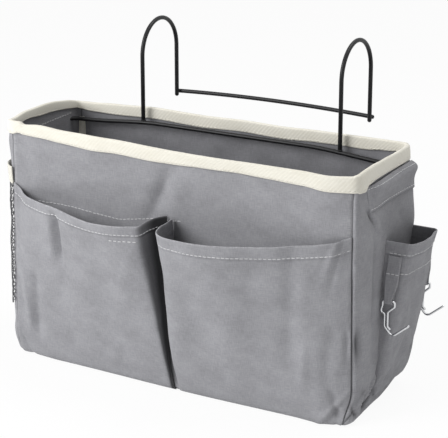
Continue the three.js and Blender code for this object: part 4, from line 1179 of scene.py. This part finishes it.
NET_BOTTOM, NET_TOP, NET_REACH = 46.0, 155.6, 0.985
NET_POUCH, NET_MOUTH, NET_EASE = 10.5, 8.0, 0.8
NET_BELLY, NET_GATHER, NET_ROUND = 0.35, 0.6, 1.4
ELASTIC_HEIGHT, ELASTIC_THICK = 16.0, 1.4
# Gathers along the net and its elastic: wavelength in hundredths of their length, height and shift
NET_WAVES, ELASTIC_WAVES = ((14.0, 0.5, 0.4), (23.0, 0.7, 1.7)), ((9.0, 0.25, 0.4), (23.0, 0.4, 1.7))
ELASTIC_LEAN, ELASTIC_SWAY, NET_FLAT_WIDTH, NET_MERGE = 0.5, 0.4, 122.0, 0.05


def net_out(t, z, thick):
    """How far the net stands off the wall."""
    rest = FACE + SEAT + thick / 2 + NET_EASE
    level = (z - NET_BOTTOM) / (NET_TOP - NET_BOTTOM)
    belly = np.where(level < 1, NET_POUCH * smooth(level, 0, NET_BELLY), NET_MOUTH)
    mouth = mix(belly, NET_MOUTH, smooth(level, NET_GATHER, 1))
    return rest + mouth * np.maximum(1 - (t / NET_REACH) ** 2, 0) ** NET_ROUND


def net_surface(u, v):
    z = mix(NET_BOTTOM, NET_TOP + 2, v)
    t = mix(NET_REACH, -NET_REACH, u)
    folds = waves(u * 100 + 8 * np.sin(v * 5), NET_WAVES) * smooth(v, 0.3, 1) * (1 - t * t)
    return wall_point("left", t, cloth_to(z), net_out(t, np.minimum(z, NET_TOP), 1.0) + folds)


def elastic_surface(u, v):
    z = NET_TOP + SEAT + mix(0, ELASTIC_HEIGHT, v)
    t = mix(NET_REACH, -NET_REACH, u)
    folds = waves(u * 100, ELASTIC_WAVES) * (1 - t * t)
    lean, sway = ELASTIC_LEAN * np.sin(u * 40) * (v - 0.5), ELASTIC_SWAY * np.sin(u * 23)
    return wall_point("left", t, cloth_to(z + sway), net_out(t, NET_TOP, ELASTIC_THICK) + folds + lean)


class CADDY_OT_net_pocket(bpy.types.Operator):
    """Makes the knitted net pocket and the elastic along its mouth"""

    bl_idname = "caddy.net_pocket"
    bl_label = "Net Pocket"

    def execute(self, context):
        net = context.scene.caddy_net
        radius = net.cell / MM / math.sqrt(3)
        columns = int(NET_FLAT_WIDTH / (math.sqrt(3) * radius))
        rows = int((NET_TOP - NET_BOTTOM + 2) / (3 * radius))
        clear_selection()
        bpy.ops.mesh.primitive_circle_add(vertices=6, radius=radius, fill_type="NGON")
        piece = bpy.context.object
        piece.name = piece.data.name = "net_cloth"
        step = math.sqrt(3) * radius
        for count, offset in ((2, (step / 2, 1.5 * radius, 0)), (columns, (step, 0, 0)), (rows, (0, 3 * radius, 0))):
            apply_modifier(
                piece, "ARRAY", count=count, use_relative_offset=False, use_constant_offset=True,
                constant_offset_displace=offset, use_merge_vertices=True, merge_threshold=NET_MERGE,
            )
        flat = np.array([vertex.co[:2] for vertex in piece.data.vertices])
        low, high = flat.min(axis=0), flat.max(axis=0)
        points = net_surface(*((flat - low) / (high - low)).T) * MM
        piece.data.vertices.foreach_set("co", points.astype(np.float32).ravel())
        piece.data.update()
        apply_modifier(
            piece, "WIREFRAME", thickness=net.yarn, use_even_offset=False, use_boundary=True, use_replace=True
        )
        piece.data.materials.clear()
        piece.data.materials.append(FINISHES["net"])
        only(piece)
        bpy.ops.object.shade_smooth()
        settle(piece, "caddy", "net", "net_pocket")
        points = elastic_surface(np.linspace(0, 1, 150)[None, :], np.linspace(0, 1, 9)[:, None])
        elastic = cloth("mouth_elastic", points, ELASTIC_THICK, [FINISHES["elastic"]])
        settle(elastic, "caddy", "elastic", "net_elastic")
        return {"FINISHED"}


# Side pocket and sleeves

SIDE_BOTTOM, SIDE_TOP, SIDE_REAR = 12.0, 140.0, 50.0
SIDE_FRONT, SIDE_FOOT_FRONT = 3.0, -16.0
SIDE_OUT, SIDE_FOOT_OUT, SIDE_CORNER, SIDE_BOW, SIDE_ROUND = 24.0, 1.2, 6.0, 2.0, 7.5
SIDE_SLOPE = (SIDE_FRONT - SIDE_FOOT_FRONT) / (SIDE_TOP - SIDE_BOTTOM)
SIDE_STITCHES = (9.5, 25.0)
# Shares of half the pocket's run that lie on its narrow side and on its bend, and the sunken strip at its seam
SIDE_WALL_RUN, SIDE_BEND_RUN, SIDE_EDGE_RUN, SIDE_EDGE_SUNK = 0.3, 0.3, 0.1, 1.4
SIDE_ROUND_TOP, SIDE_HEM_PROUD, SIDE_STIFFNESS, SIDE_CORNER_SHARE = 36, 0.4, 0.7, 0.8
SIDE_WAVES = ((41, 0.6, 0.5), (17, 0.25, 2.0))
# Folds of the side pocket, in millimetres: place along the wall, lean, width, height, length and depth
SIDE_FOLDS = (
    (16, 0.3, 5, 40, 25, -2.0), (34, -0.2, 7, 76, 30, 1.4), (6, 0.25, 3.5, 60, 26, 1.4), (40, 0.4, 4, 30, 14, -2.0),
    (-4, 0.7, 3, 24, 11, -3.4), (4, 0.9, 3, 22, 10, 2.4), (12, 1.1, 3, 18, 8, -2.6), (26, 0.1, 4, 118, 10, -0.8),
    (-10, 0.4, 3, 20, 9, 2.2), (24, 1.2, 4, 16, 8, 1.8),
)


def side_front_at(z):
    """Where the side pocket's slanting front edge meets the wall at a height."""
    return SIDE_FRONT - (SIDE_TOP - z) * SIDE_SLOPE


def side_pocket_surface(u, v):
    """The side pocket: u runs from its front edge, over two bends, to its rear edge, and v up to its mouth."""
    u, v = gridded(u, v)
    z = mix(SIDE_BOTTOM, SIDE_TOP, v)
    wall = side_wall_x(z) + FACE + SEAT - tuck_at("right", 0.2, z)
    face = wall + mix(SIDE_FOOT_OUT, SIDE_OUT, v)
    bend = np.minimum(SIDE_CORNER, (face - wall) * SIDE_CORNER_SHARE)
    from_front = u < 0.5
    run = np.where(from_front, 2 * u, 2 - 2 * u)
    rear = SIDE_REAR - SIDE_ROUND * (1 - smooth(z, SIDE_BOTTOM - 2, SIDE_ROUND_TOP))
    end = np.where(from_front, side_front_at(z), rear)
    inwards = np.where(from_front, 1, -1)
    middle = (side_front_at(z) + SIDE_REAR) / 2
    sunk = SIDE_EDGE_SUNK * (1 - np.clip(run / SIDE_EDGE_RUN, 0, 1))
    start = abs(wall_plan("right", along_side(end, z), z, 0.0)[0]) + FACE + SEAT - sunk
    turn = np.clip((run - SIDE_WALL_RUN) / SIDE_BEND_RUN, 0, 1) * QUARTER
    face_start = SIDE_WALL_RUN + SIDE_BEND_RUN
    along = np.clip((run - face_start) / (1 - face_start), 0, 1)
    out = mix(start, face - bend, run / SIDE_WALL_RUN)
    x = np.where(run < SIDE_WALL_RUN, out, face - bend + bend * np.sin(turn))
    y = mix(end + inwards * bend * (1 - np.cos(turn)), middle, along)
    x = x + SIDE_BOW * v * np.sin(along * QUARTER)
    folds = waves(y + 0.5 * z, SIDE_WAVES)
    for place, lean, width, height, length, depth in SIDE_FOLDS:
        folds = folds + depth * bell(y - lean * (z - height), place, width) * bell(z, height, length)
    sewing = SIDE_TOP - SIDE_STITCHES[0]
    hem = SIDE_HEM_PROUD * smooth(z, sewing - HEM_EDGE, sewing + HEM_EDGE)
    bulge = relief("right", along_side(y, z), z) * (1 - SIDE_STIFFNESS * smooth(run, 0, face_start) * v)
    x = x + smooth(run, 0.25, face_start) * (np.clip(6 * v, 0, 1) * folds + hem) + bulge
    return np.stack([x, y, z], axis=-1)


class CADDY_OT_side_pocket(bpy.types.Operator):
    """Makes the cloth pocket on the right wall"""

    bl_idname = "caddy.side_pocket"
    bl_label = "Side Pocket"

    def execute(self, context):
        up = np.concatenate([np.linspace(0, 0.85, 48), np.linspace(0.85, 1, 18)[1:]])
        points = side_pocket_surface(np.linspace(0, 1, 90)[None, :], up[:, None])
        cloths, wear = [FINISHES["canvas"], FINISHES["lining"]], hem_rub_and_shade(points, SIDE_STITCHES[0])
        pocket = cloth("right_side_pocket", points, POCKET_CLOTH, cloths, wear=wear)
        settle(pocket, "caddy", "canvas", "side_pocket")
        high = SIDE_TOP - SIDE_BOTTOM
        lines = [sewn(side_pocket_surface, 0.03, 0.97, 160, 1 - below / high) for below in SIDE_STITCHES]
        stitches("side_pocket_stitches", lines, FINISHES["thread"])
        return {"FINISHED"}


SLEEVE_TOP, SLEEVE_HEIGHT, SLEEVE_FRONT, SLEEVE_REAR, SLEEVE_SLANT = 193.8, 22.6, -28.0, 52.0, 7.0
SLEEVE_BUMP, SLEEVE_SKEW, SLEEVE_GATHER, SLEEVE_PITCH = 4.6, 2.8, 0.12, 8.5
# Depths at which the bulge over the wire starts and the cloth lies flat beyond its end, and creases round that end
SLEEVE_OPEN, SLEEVE_PRESSED, SLEEVE_END = (-32, -16), (-35, -22), (0.5, -24, 16)
SLEEVE_WAVES, SLEEVE_SEWING = ((17, 0.6, 0.4), (9, 0.5, 2.0)), (0.12, 0.9)


def sleeve_surface(side):
    """A sleeve is an open tube along the arm, and its front end is pressed flat beyond the wire's end."""
    rest = FACE + SEAT + POCKET_CLOTH / 2

    def surface(u, v):
        u, v = gridded(u, v)
        share = u if side == "right" else 1 - u
        z = SLEEVE_TOP - SLEEVE_HEIGHT * (1 - v)
        y = mix(SLEEVE_FRONT - SLEEVE_SLANT * v, SLEEVE_REAR, share)
        bump = SLEEVE_BUMP * np.sin(math.pi * np.clip(v, 0, 1) ** SLEEVE_SKEW) * mix(0.1, 1, smooth(y, *SLEEVE_OPEN))
        crease = waves(y + 0.8 * z, SLEEVE_WAVES) * np.sin(math.pi * v) * band(y, SLEEVE_END)
        gather = SLEEVE_GATHER * np.sin(y * 2 * math.pi / SLEEVE_PITCH + 1.5 * np.sin(y / 9)) * np.sin(math.pi * v)
        pressed = rest * mix(0.2, 1, smooth(y, *SLEEVE_PRESSED))
        return wall_point(side, along_side(y, z), cloth_to(z), pressed + bump + crease + gather)

    return surface


class CADDY_OT_sleeves(bpy.types.Operator):
    """Makes the sleeves that hold the frame's arms to the side walls"""

    bl_idname = "caddy.sleeves"
    bl_label = "Arm Sleeves"

    def execute(self, context):
        lines = []
        for side in ("left", "right"):
            surface = sleeve_surface(side)
            across, up = np.linspace(0, 1, 64), np.linspace(0, 1, 24)
            # Rubbed yarn along the front edge, and painted shade along the lower edge, where the sleeve meets the wall
            wear = 0.4 * bell(across, 0 if side == "right" else 1, 0.02)[None, :] - 0.5 * bell(up, 0, 0.04)[:, None]
            points = surface(across[None, :], up[:, None])
            sleeve = cloth(f"{side}_arm_sleeve", points, POCKET_CLOTH, [FINISHES["canvas"]], wear=wear)
            settle(sleeve, "caddy", "canvas", f"{side}_sleeve")
            u = np.linspace(0.01, 0.99, 70)
            lines += [lifted(surface, u, np.full_like(u, v), POCKET_CLOTH / 2 + 2 * THREAD_SEAT) for v in SLEEVE_SEWING]
        stitches("sleeve_stitches", lines, FINISHES["thread"])
        return {"FINISHED"}


# Wire parts

BAR_HEIGHT, BAR_SETBACK, FRAME_CORNER = 194.0, 7.5, 12.0
ARM_HEIGHT, ARM_REACH, ARM_DROP, SLOT = 188.5, 18.0, 88.0, 11.0
HANGER_SPACING, HANGER_SHIFT, HANGER_SPAN = 190.0, 7.0, 58.4
HANGER_SPRING, HANGER_END = 252.0, 206.4
CROSSBAR_HEIGHT, CROSSBAR_BOW, CROSSBAR_OVERHANG = 208.5, 2.5, 2.6
FOOT_GAP, FOOT_WELD, BACK_WELD = 1.2, (2.3, 1.9, 1.1), (1.9, 1.2, 1.9)


def frame_path(wire):
    """The frame's wire, and where its height lies along its run from the middle."""
    bar_y = HALF_DEPTH - BAR_SETBACK
    arm_wall = side_wall_x(ARM_HEIGHT - wire / 2)
    corner_x = arm_wall + FACE + SEAT + wire / 2 - FRAME_CORNER
    corner_y = bar_y - FRAME_CORNER
    crossing_turn = math.acos((arm_wall - corner_x) / FRAME_CORNER)
    arc, arm = FRAME_CORNER * QUARTER, corner_y + ARM_REACH
    along = np.linspace(-1, 1, 360) * (corner_x + arc + arm)
    run, side = abs(along), np.sign(along)
    crossing = corner_x + arc - FRAME_CORNER * crossing_turn - SLOT / 2
    z = mix(BAR_HEIGHT, ARM_HEIGHT, smooth(run, crossing - ARM_DROP, crossing))
    turn = np.clip((run - corner_x) / FRAME_CORNER, 0, QUARTER)
    onwards = np.maximum(run - corner_x - arc, 0)
    x = np.where(run < corner_x, along, side * (corner_x + FRAME_CORNER * np.sin(turn)))
    y = np.where(run < corner_x, bar_y, corner_y + FRAME_CORNER * np.cos(turn) - onwards)
    return np.stack([x, y, z], axis=-1)


class CADDY_OT_frame(bpy.types.Operator):
    """Makes the painted wire frame, its two hangers and the crossbar"""

    bl_idname = "caddy.frame"
    bl_label = "Wire Frame"

    def execute(self, context):
        wires = context.scene.caddy_wires
        wire, sides, coat = wires.frame_wire / MM, wires.sides, FINISHES["coat"]
        frame_line = frame_path(wire)
        bar = tube("frame_bar", frame_line, wire, coat, sides)
        settle(bar, "caddy", "frame_paint", "frame_wire")
        bar_y, radius = HALF_DEPTH - BAR_SETBACK, HANGER_SPAN / 2
        for side, out in (("left", -1), ("right", 1)):
            x = HANGER_SHIFT + out * HANGER_SPACING / 2
            level = float(np.interp(x, frame_line[:, 0], frame_line[:, 2])) + wire / 2
            turn = np.linspace(math.pi, 0, 41)
            arch = [x + 0 * turn, bar_y + radius + radius * np.cos(turn), HANGER_SPRING + radius * np.sin(turn)]
            leg = [(x, bar_y, z) for z in np.linspace(level + SEAT + FOOT_GAP, HANGER_SPRING, 12)[:-1]]
            rear = [(x, bar_y + HANGER_SPAN, z) for z in np.linspace(HANGER_SPRING, HANGER_END, 9)[1:]]
            hanger = tube("hanger", np.concatenate([leg, np.stack(arch, axis=-1), rear]), wire, coat, sides)
            foot_weld = bead((x, bar_y, level + 0.3), FOOT_WELD, coat)
            back_weld = bead((x, bar_y + HANGER_SPAN + wire / 2 + 0.2, CROSSBAR_HEIGHT + 0.6), BACK_WELD, coat)
            hanger = joined(f"{side}_rail_hanger", [hanger, foot_weld, back_weld])
            settle(hanger, "caddy", "frame_paint", f"{side}_hanger")
        reach = HANGER_SPACING / 2 + CROSSBAR_OVERHANG - wire / 2
        along = np.linspace(-1, 1, 41)
        y, z = bar_y + HANGER_SPAN + wire + SEAT, CROSSBAR_HEIGHT + CROSSBAR_BOW * (1 - along**2)
        path = np.stack([HANGER_SHIFT + along * reach, np.full(41, y), z], axis=-1)
        crossbar = tube("rail_crossbar", path, wire, coat, sides)
        settle(crossbar, "caddy", "frame_paint", "crossbar")
        return {"FINISHED"}


# Straps and hooks

STRAP_TOP, STRAP_JOIN, STRAP_WIDTH, STRAP_GATHERED, STRAP_CLOTH = 129.0, 110.0, 11.4, 6.8, 1.0
EYE_HEIGHT, REAR_EYE_RISE, STRAP_CENTRE, REAR_SHIFT = 94.0, -3.5, 8.1, 4.3
RING_WIDTH, RING_DROP, RING_SIDE, RING_LEAN = 10.4, 10.4, 4.0, 6.4
HOOK_STEM, STEM_SPACING, HOOK_DEPTH, HOOK_REACH, TIP_RISE, INNER_REACH = 11.5, 2.6, 29.7, 20.6, 11.4, 4.6
TIGHT_BEND, EASY_BEND, HOOK_RUN = 1.5, 4.0, 0.3
# Shares of the stems' spacing at which the wire starts, and of the reach and rise at which its bends lie
OUTER_SHARE, INNER_TIP_SHARE, HEEL_REACH, HEEL_RISE, TOE_REACH = 1.2, 2.35, 0.62, 0.4, 1.45
STRAP_PLEAT, STRAP_PRESSED, STRAP_PRESSED_TOP, STRAP_RUB, STRAP_EDGE = 0.14, 1.1, 4.0, 0.2, 0.4


def hook_ends(wire):
    """Name, place of the hinge, direction away from the pocket and lean of each strap."""
    around_eye = wire / 2 + HOOK_RUN + STRAP_CLOTH
    x = float(side_wall_x(EYE_HEIGHT)) + FACE + STRAP_CENTRE
    front = side_front_at(EYE_HEIGHT - HOOK_DEPTH) - POCKET_CLOTH / 2 - SEAT - wire / 2
    front_top = side_front_at(STRAP_TOP) - POCKET_CLOTH / 2 - SEAT - around_eye
    rear = SIDE_REAR + POCKET_CLOTH / 2 + SEAT + around_eye
    return (
        ("front", (x, front, EYE_HEIGHT), -1, (front_top - front) / (STRAP_TOP - EYE_HEIGHT)),
        ("rear", (x + REAR_SHIFT, rear, EYE_HEIGHT + REAR_EYE_RISE), 1, 0.0),
    )


def bent(rows):
    """Straight runs joined by round bends: each row is x, z and the bend's radius."""
    points = [np.array(row[:2], float) for row in rows]
    path = [points[0]]
    for before, here, after, row in zip(points, points[1:], points[2:], rows[1:]):
        a, b = unit(before - here), unit(after - here)
        half = math.acos(np.clip(a @ b, -1, 1)) / 2
        start, end = here + a * row[2] / math.tan(half), here + b * row[2] / math.tan(half)
        turned = math.pi - 2 * half
        handle = row[2] * 4 / 3 * math.tan(turned / 4)
        c1, c2 = start - a * handle, end - b * handle
        for w in np.linspace(0, 1, 9):
            path.append((1 - w) ** 3 * start + 3 * w * (1 - w) ** 2 * c1 + 3 * w * w * (1 - w) * c2 + w**3 * end)
    path.append(points[-1])
    return np.array(path)


def hook_path(wire):
    """The hook's wire: up its inner stem, round the ring, down the outer stem and out to the tip."""
    outer = -STEM_SPACING * OUTER_SHARE
    inner, half = outer + STEM_SPACING, RING_WIDTH / 2
    return bent(
        [
            (outer + INNER_REACH, -HOOK_DEPTH + STEM_SPACING * INNER_TIP_SHARE, 0),
            (inner, -RING_DROP - HOOK_STEM, EASY_BEND - STEM_SPACING),
            (inner, -RING_DROP + RING_SIDE / 4, TIGHT_BEND),
            (half, -RING_SIDE, TIGHT_BEND),
            (half, 0, TIGHT_BEND),
            (-half, 0, TIGHT_BEND),
            (-half, -RING_SIDE, TIGHT_BEND),
            (-RING_LEAN, -RING_DROP + RING_SIDE / 2, TIGHT_BEND),
            (-RING_LEAN + RING_SIDE / 4, -RING_DROP - wire / 4, TIGHT_BEND),
            (outer, -RING_DROP + wire / 8, TIGHT_BEND),
            (outer, -RING_DROP - HOOK_STEM, EASY_BEND),
            (outer + INNER_REACH * HEEL_REACH, -HOOK_DEPTH + TIP_RISE * HEEL_RISE, EASY_BEND),
            (outer + INNER_REACH * TOE_REACH, -HOOK_DEPTH, EASY_BEND),
            (outer + HOOK_REACH, -HOOK_DEPTH + TIP_RISE, 0),
        ]
    )


class CADDY_OT_straps_and_hooks(bpy.types.Operator):
    """Makes the two canvas straps at the side pocket and the plated hooks that hang in them"""

    bl_idname = "caddy.straps_and_hooks"
    bl_label = "Straps and Hooks"

    def execute(self, context):
        wires = context.scene.caddy_wires
        wire, sides = wires.hook_wire / MM, wires.sides
        mid = wire / 2 + HOOK_RUN + STRAP_CLOTH / 2
        join, top = STRAP_JOIN - EYE_HEIGHT, STRAP_TOP - EYE_HEIGHT
        # The strap's cloth, seen from its edge: down the back, round the ring and up the front
        back = [(-mid, h) for h in np.linspace(top, 0, 22)]
        turn = [(mid * math.cos(a), mid * math.sin(a)) for a in np.linspace(math.pi, 2 * math.pi, 12)[1:]]
        share, meet = np.linspace(0, 1, 10), join + STRAP_CLOTH
        rise = np.stack([mix(mid, -mid + STRAP_CLOTH, smooth(share, 0, 1)), mix(0.6, meet, share)], axis=-1)
        front = [(-mid + STRAP_CLOTH, h) for h in np.linspace(meet, top, 12)[1:]]
        line = np.concatenate([back, turn, rise, front])
        gathered = 1 - smooth(line[:, 1:], wire / 2, join)
        across = np.linspace(-0.5, 0.5, 11)[None, :]
        width, pleat = mix(STRAP_WIDTH, STRAP_GATHERED, gathered), STRAP_PLEAT * np.cos(across * 4 * math.pi) * gathered
        pressed = STRAP_PRESSED * smooth(line[:, 1:], join, top - STRAP_PRESSED_TOP)
        depth, high = line[:, :1] + pleat - pressed, line[:, 1:] + 0 * across
        wear = STRAP_RUB * (abs(across) > STRAP_EDGE)
        flat, lines = hook_path(wire), []
        for end, (x, y, z), away, slope in hook_ends(wire):
            points = np.stack([x + across * width, y + away * depth + slope * high, z + high], axis=-1)
            if away == 1:
                points = points[:, ::-1]
            strap = cloth(f"{end}_hook_strap", points, STRAP_CLOTH, [FINISHES["canvas"]], wear=wear)
            settle(strap, "caddy", "canvas", f"{end}_strap")
            path = np.stack([x + flat[:, 0], np.full(len(flat), y), z + flat[:, 1]], axis=-1)
            hook = tube(f"{end}_wire_hook", path, wire, FINISHES["plate"], sides)
            settle(hook, f"{end}_hook_body", "hook_chrome", f"{end}_hook")
            level = SIDE_TOP - SIDE_STITCHES[1] - z
            sunk = STRAP_PRESSED * float(smooth(level, join, top - STRAP_PRESSED_TOP))
            sewing = y + away * (-mid + STRAP_CLOTH * 1.5 - sunk) + slope * level
            seam = [(x + side * STRAP_WIDTH / 2, sewing, z + level) for side in np.linspace(-1, 1, 12)]
            lines.append((np.array(seam), np.tile([0.0, away, 0.0], (12, 1))))
        stitches("strap_stitches", lines, FINISHES["thread"])
        return {"FINISHED"}


# Stage

CENTRE, TOP_LIGHT_SHARE, PAPER_GLOW = Vector((0.0, 0.0, 0.1)), 0.36, 0.93


def seen_share(tree):
    """1 for a ray that the camera sees, straight, in a gloss or through glass, and 0 for any other."""
    rays = add_node(tree, "LightPath", out=None)
    seen = add_node(tree, "Math", HIGHEST, i0=rays["Is Camera Ray"], i1=rays["Is Glossy Ray"])
    return add_node(tree, "Math", HIGHEST, i0=seen, i1=rays["Is Transmission Ray"])


class CADDY_OT_stage(bpy.types.Operator):
    """Makes the pale floor, the soft lights and the camera"""

    bl_idname = "caddy.stage"
    bl_label = "Stage"

    def execute(self, context):
        scene, stage = context.scene, context.scene.caddy_stage
        clear_selection()
        bpy.ops.mesh.primitive_grid_add(x_subdivisions=4, y_subdivisions=4, size=16)
        floor = bpy.context.object
        floor.name = floor.data.name = "floor"
        paper, shader, add = new_material("White Paper", Base_Color=linear("#f7f7f7"), Roughness=0.95)
        share = add("Math", MULTIPLY, i0=seen_share(paper.node_tree), i1=PAPER_GLOW)
        white = add("Emission", Color=(1, 1, 1, 1), Strength=1.0)
        mixed = add("MixShader", i0=share, i1=shader.outputs[0], i2=white)
        feed(paper.node_tree.nodes["Material Output"], Surface=mixed)
        floor.data.materials.append(paper)
        scene.world = scene.world or bpy.data.worlds.new("Studio")
        scene.world.use_nodes = True
        tree = scene.world.node_tree
        tree.nodes.clear()
        strength = add_node(tree, "MapRange", i0=seen_share(tree), i3=stage.sky)
        background = add_node(tree, "Background", Color=(1, 1, 1, 1), Strength=strength)
        add_node(tree, "OutputWorld", {"is_active_output": True}, None, Surface=background)
        for name, power, size, place in (
            ("key_light", stage.key, 1.3, (-0.88, -1.2, 0.95)),
            ("fill_light", stage.fill, 1.0, (1.5, -0.5, 0.6)),
            ("top_light", stage.key * TOP_LIGHT_SHARE, 0.8, (0.4, 0.4, 1.6)),
        ):
            bpy.ops.object.light_add(type="AREA", location=place)
            lamp = bpy.context.object
            lamp.name = name
            lamp.data.energy, lamp.data.shape, lamp.data.size = power, "DISK", size
            lamp.rotation_euler = (CENTRE - Vector(place)).to_track_quat("-Z", "Y").to_euler()
        azimuth, elevation = stage.azimuth, stage.elevation
        level = math.cos(elevation)
        back = Vector((math.sin(azimuth) * level, -math.cos(azimuth) * level, math.sin(elevation)))
        bpy.ops.object.camera_add(location=Vector(stage.target) + back * stage.distance)
        camera = bpy.context.object
        camera.name = "camera"
        camera.rotation_euler = (-back).to_track_quat("-Z", "Y").to_euler()
        camera.data.sensor_width, camera.data.lens = 36.0, stage.lens
        camera.data.clip_start, camera.data.clip_end = 0.05, 30.0
        scene.camera = camera
        scene.view_settings.view_transform = "Standard"
        return {"FINISHED"}


STEPS = (
    CADDY_OT_bag, CADDY_OT_board, CADDY_OT_binding, CADDY_OT_tapes, CADDY_OT_frame, CADDY_OT_sleeves,
    CADDY_OT_front_pockets, CADDY_OT_net_pocket, CADDY_OT_side_pocket, CADDY_OT_straps_and_hooks, CADDY_OT_stage,
)
SETTINGS = {
    "caddy_bag": CaddyBagSettings,
    "caddy_sewing": CaddySewingSettings,
    "caddy_net": CaddyNetSettings,
    "caddy_wires": CaddyWireSettings,
    "caddy_looks": CaddyLookSettings,
    "caddy_stage": CaddyStageSettings,
}


class CADDY_PT_panel(bpy.types.Panel):
    """Lists the caddy's settings and the steps that make it"""

    bl_idname = "CADDY_PT_panel"
    bl_label = "Bedside Caddy"
    bl_space_type = "VIEW_3D"
    bl_region_type = "UI"
    bl_category = "Caddy"

    def draw(self, context):
        for name, group in SETTINGS.items():
            box = self.layout.box()
            for setting in group.__annotations__:
                box.prop(getattr(context.scene, name), setting)
        for step in STEPS:
            self.layout.operator(step.bl_idname)


def register():
    for kind in (*SETTINGS.values(), *STEPS, CADDY_PT_panel):
        bpy.utils.register_class(kind)
    for name, group in SETTINGS.items():
        setattr(bpy.types.Scene, name, PointerProperty(type=group))


def unregister():
    for name in SETTINGS:
        delattr(bpy.types.Scene, name)
    for kind in reversed((*SETTINGS.values(), *STEPS, CADDY_PT_panel)):
        bpy.utils.unregister_class(kind)


def main():
    register()
    make_finishes(bpy.context.scene.caddy_looks)
    for step in STEPS:
        group, name = step.bl_idname.split(".")
        getattr(getattr(bpy.ops, group), name)()


if __name__ == "__main__":
    main()
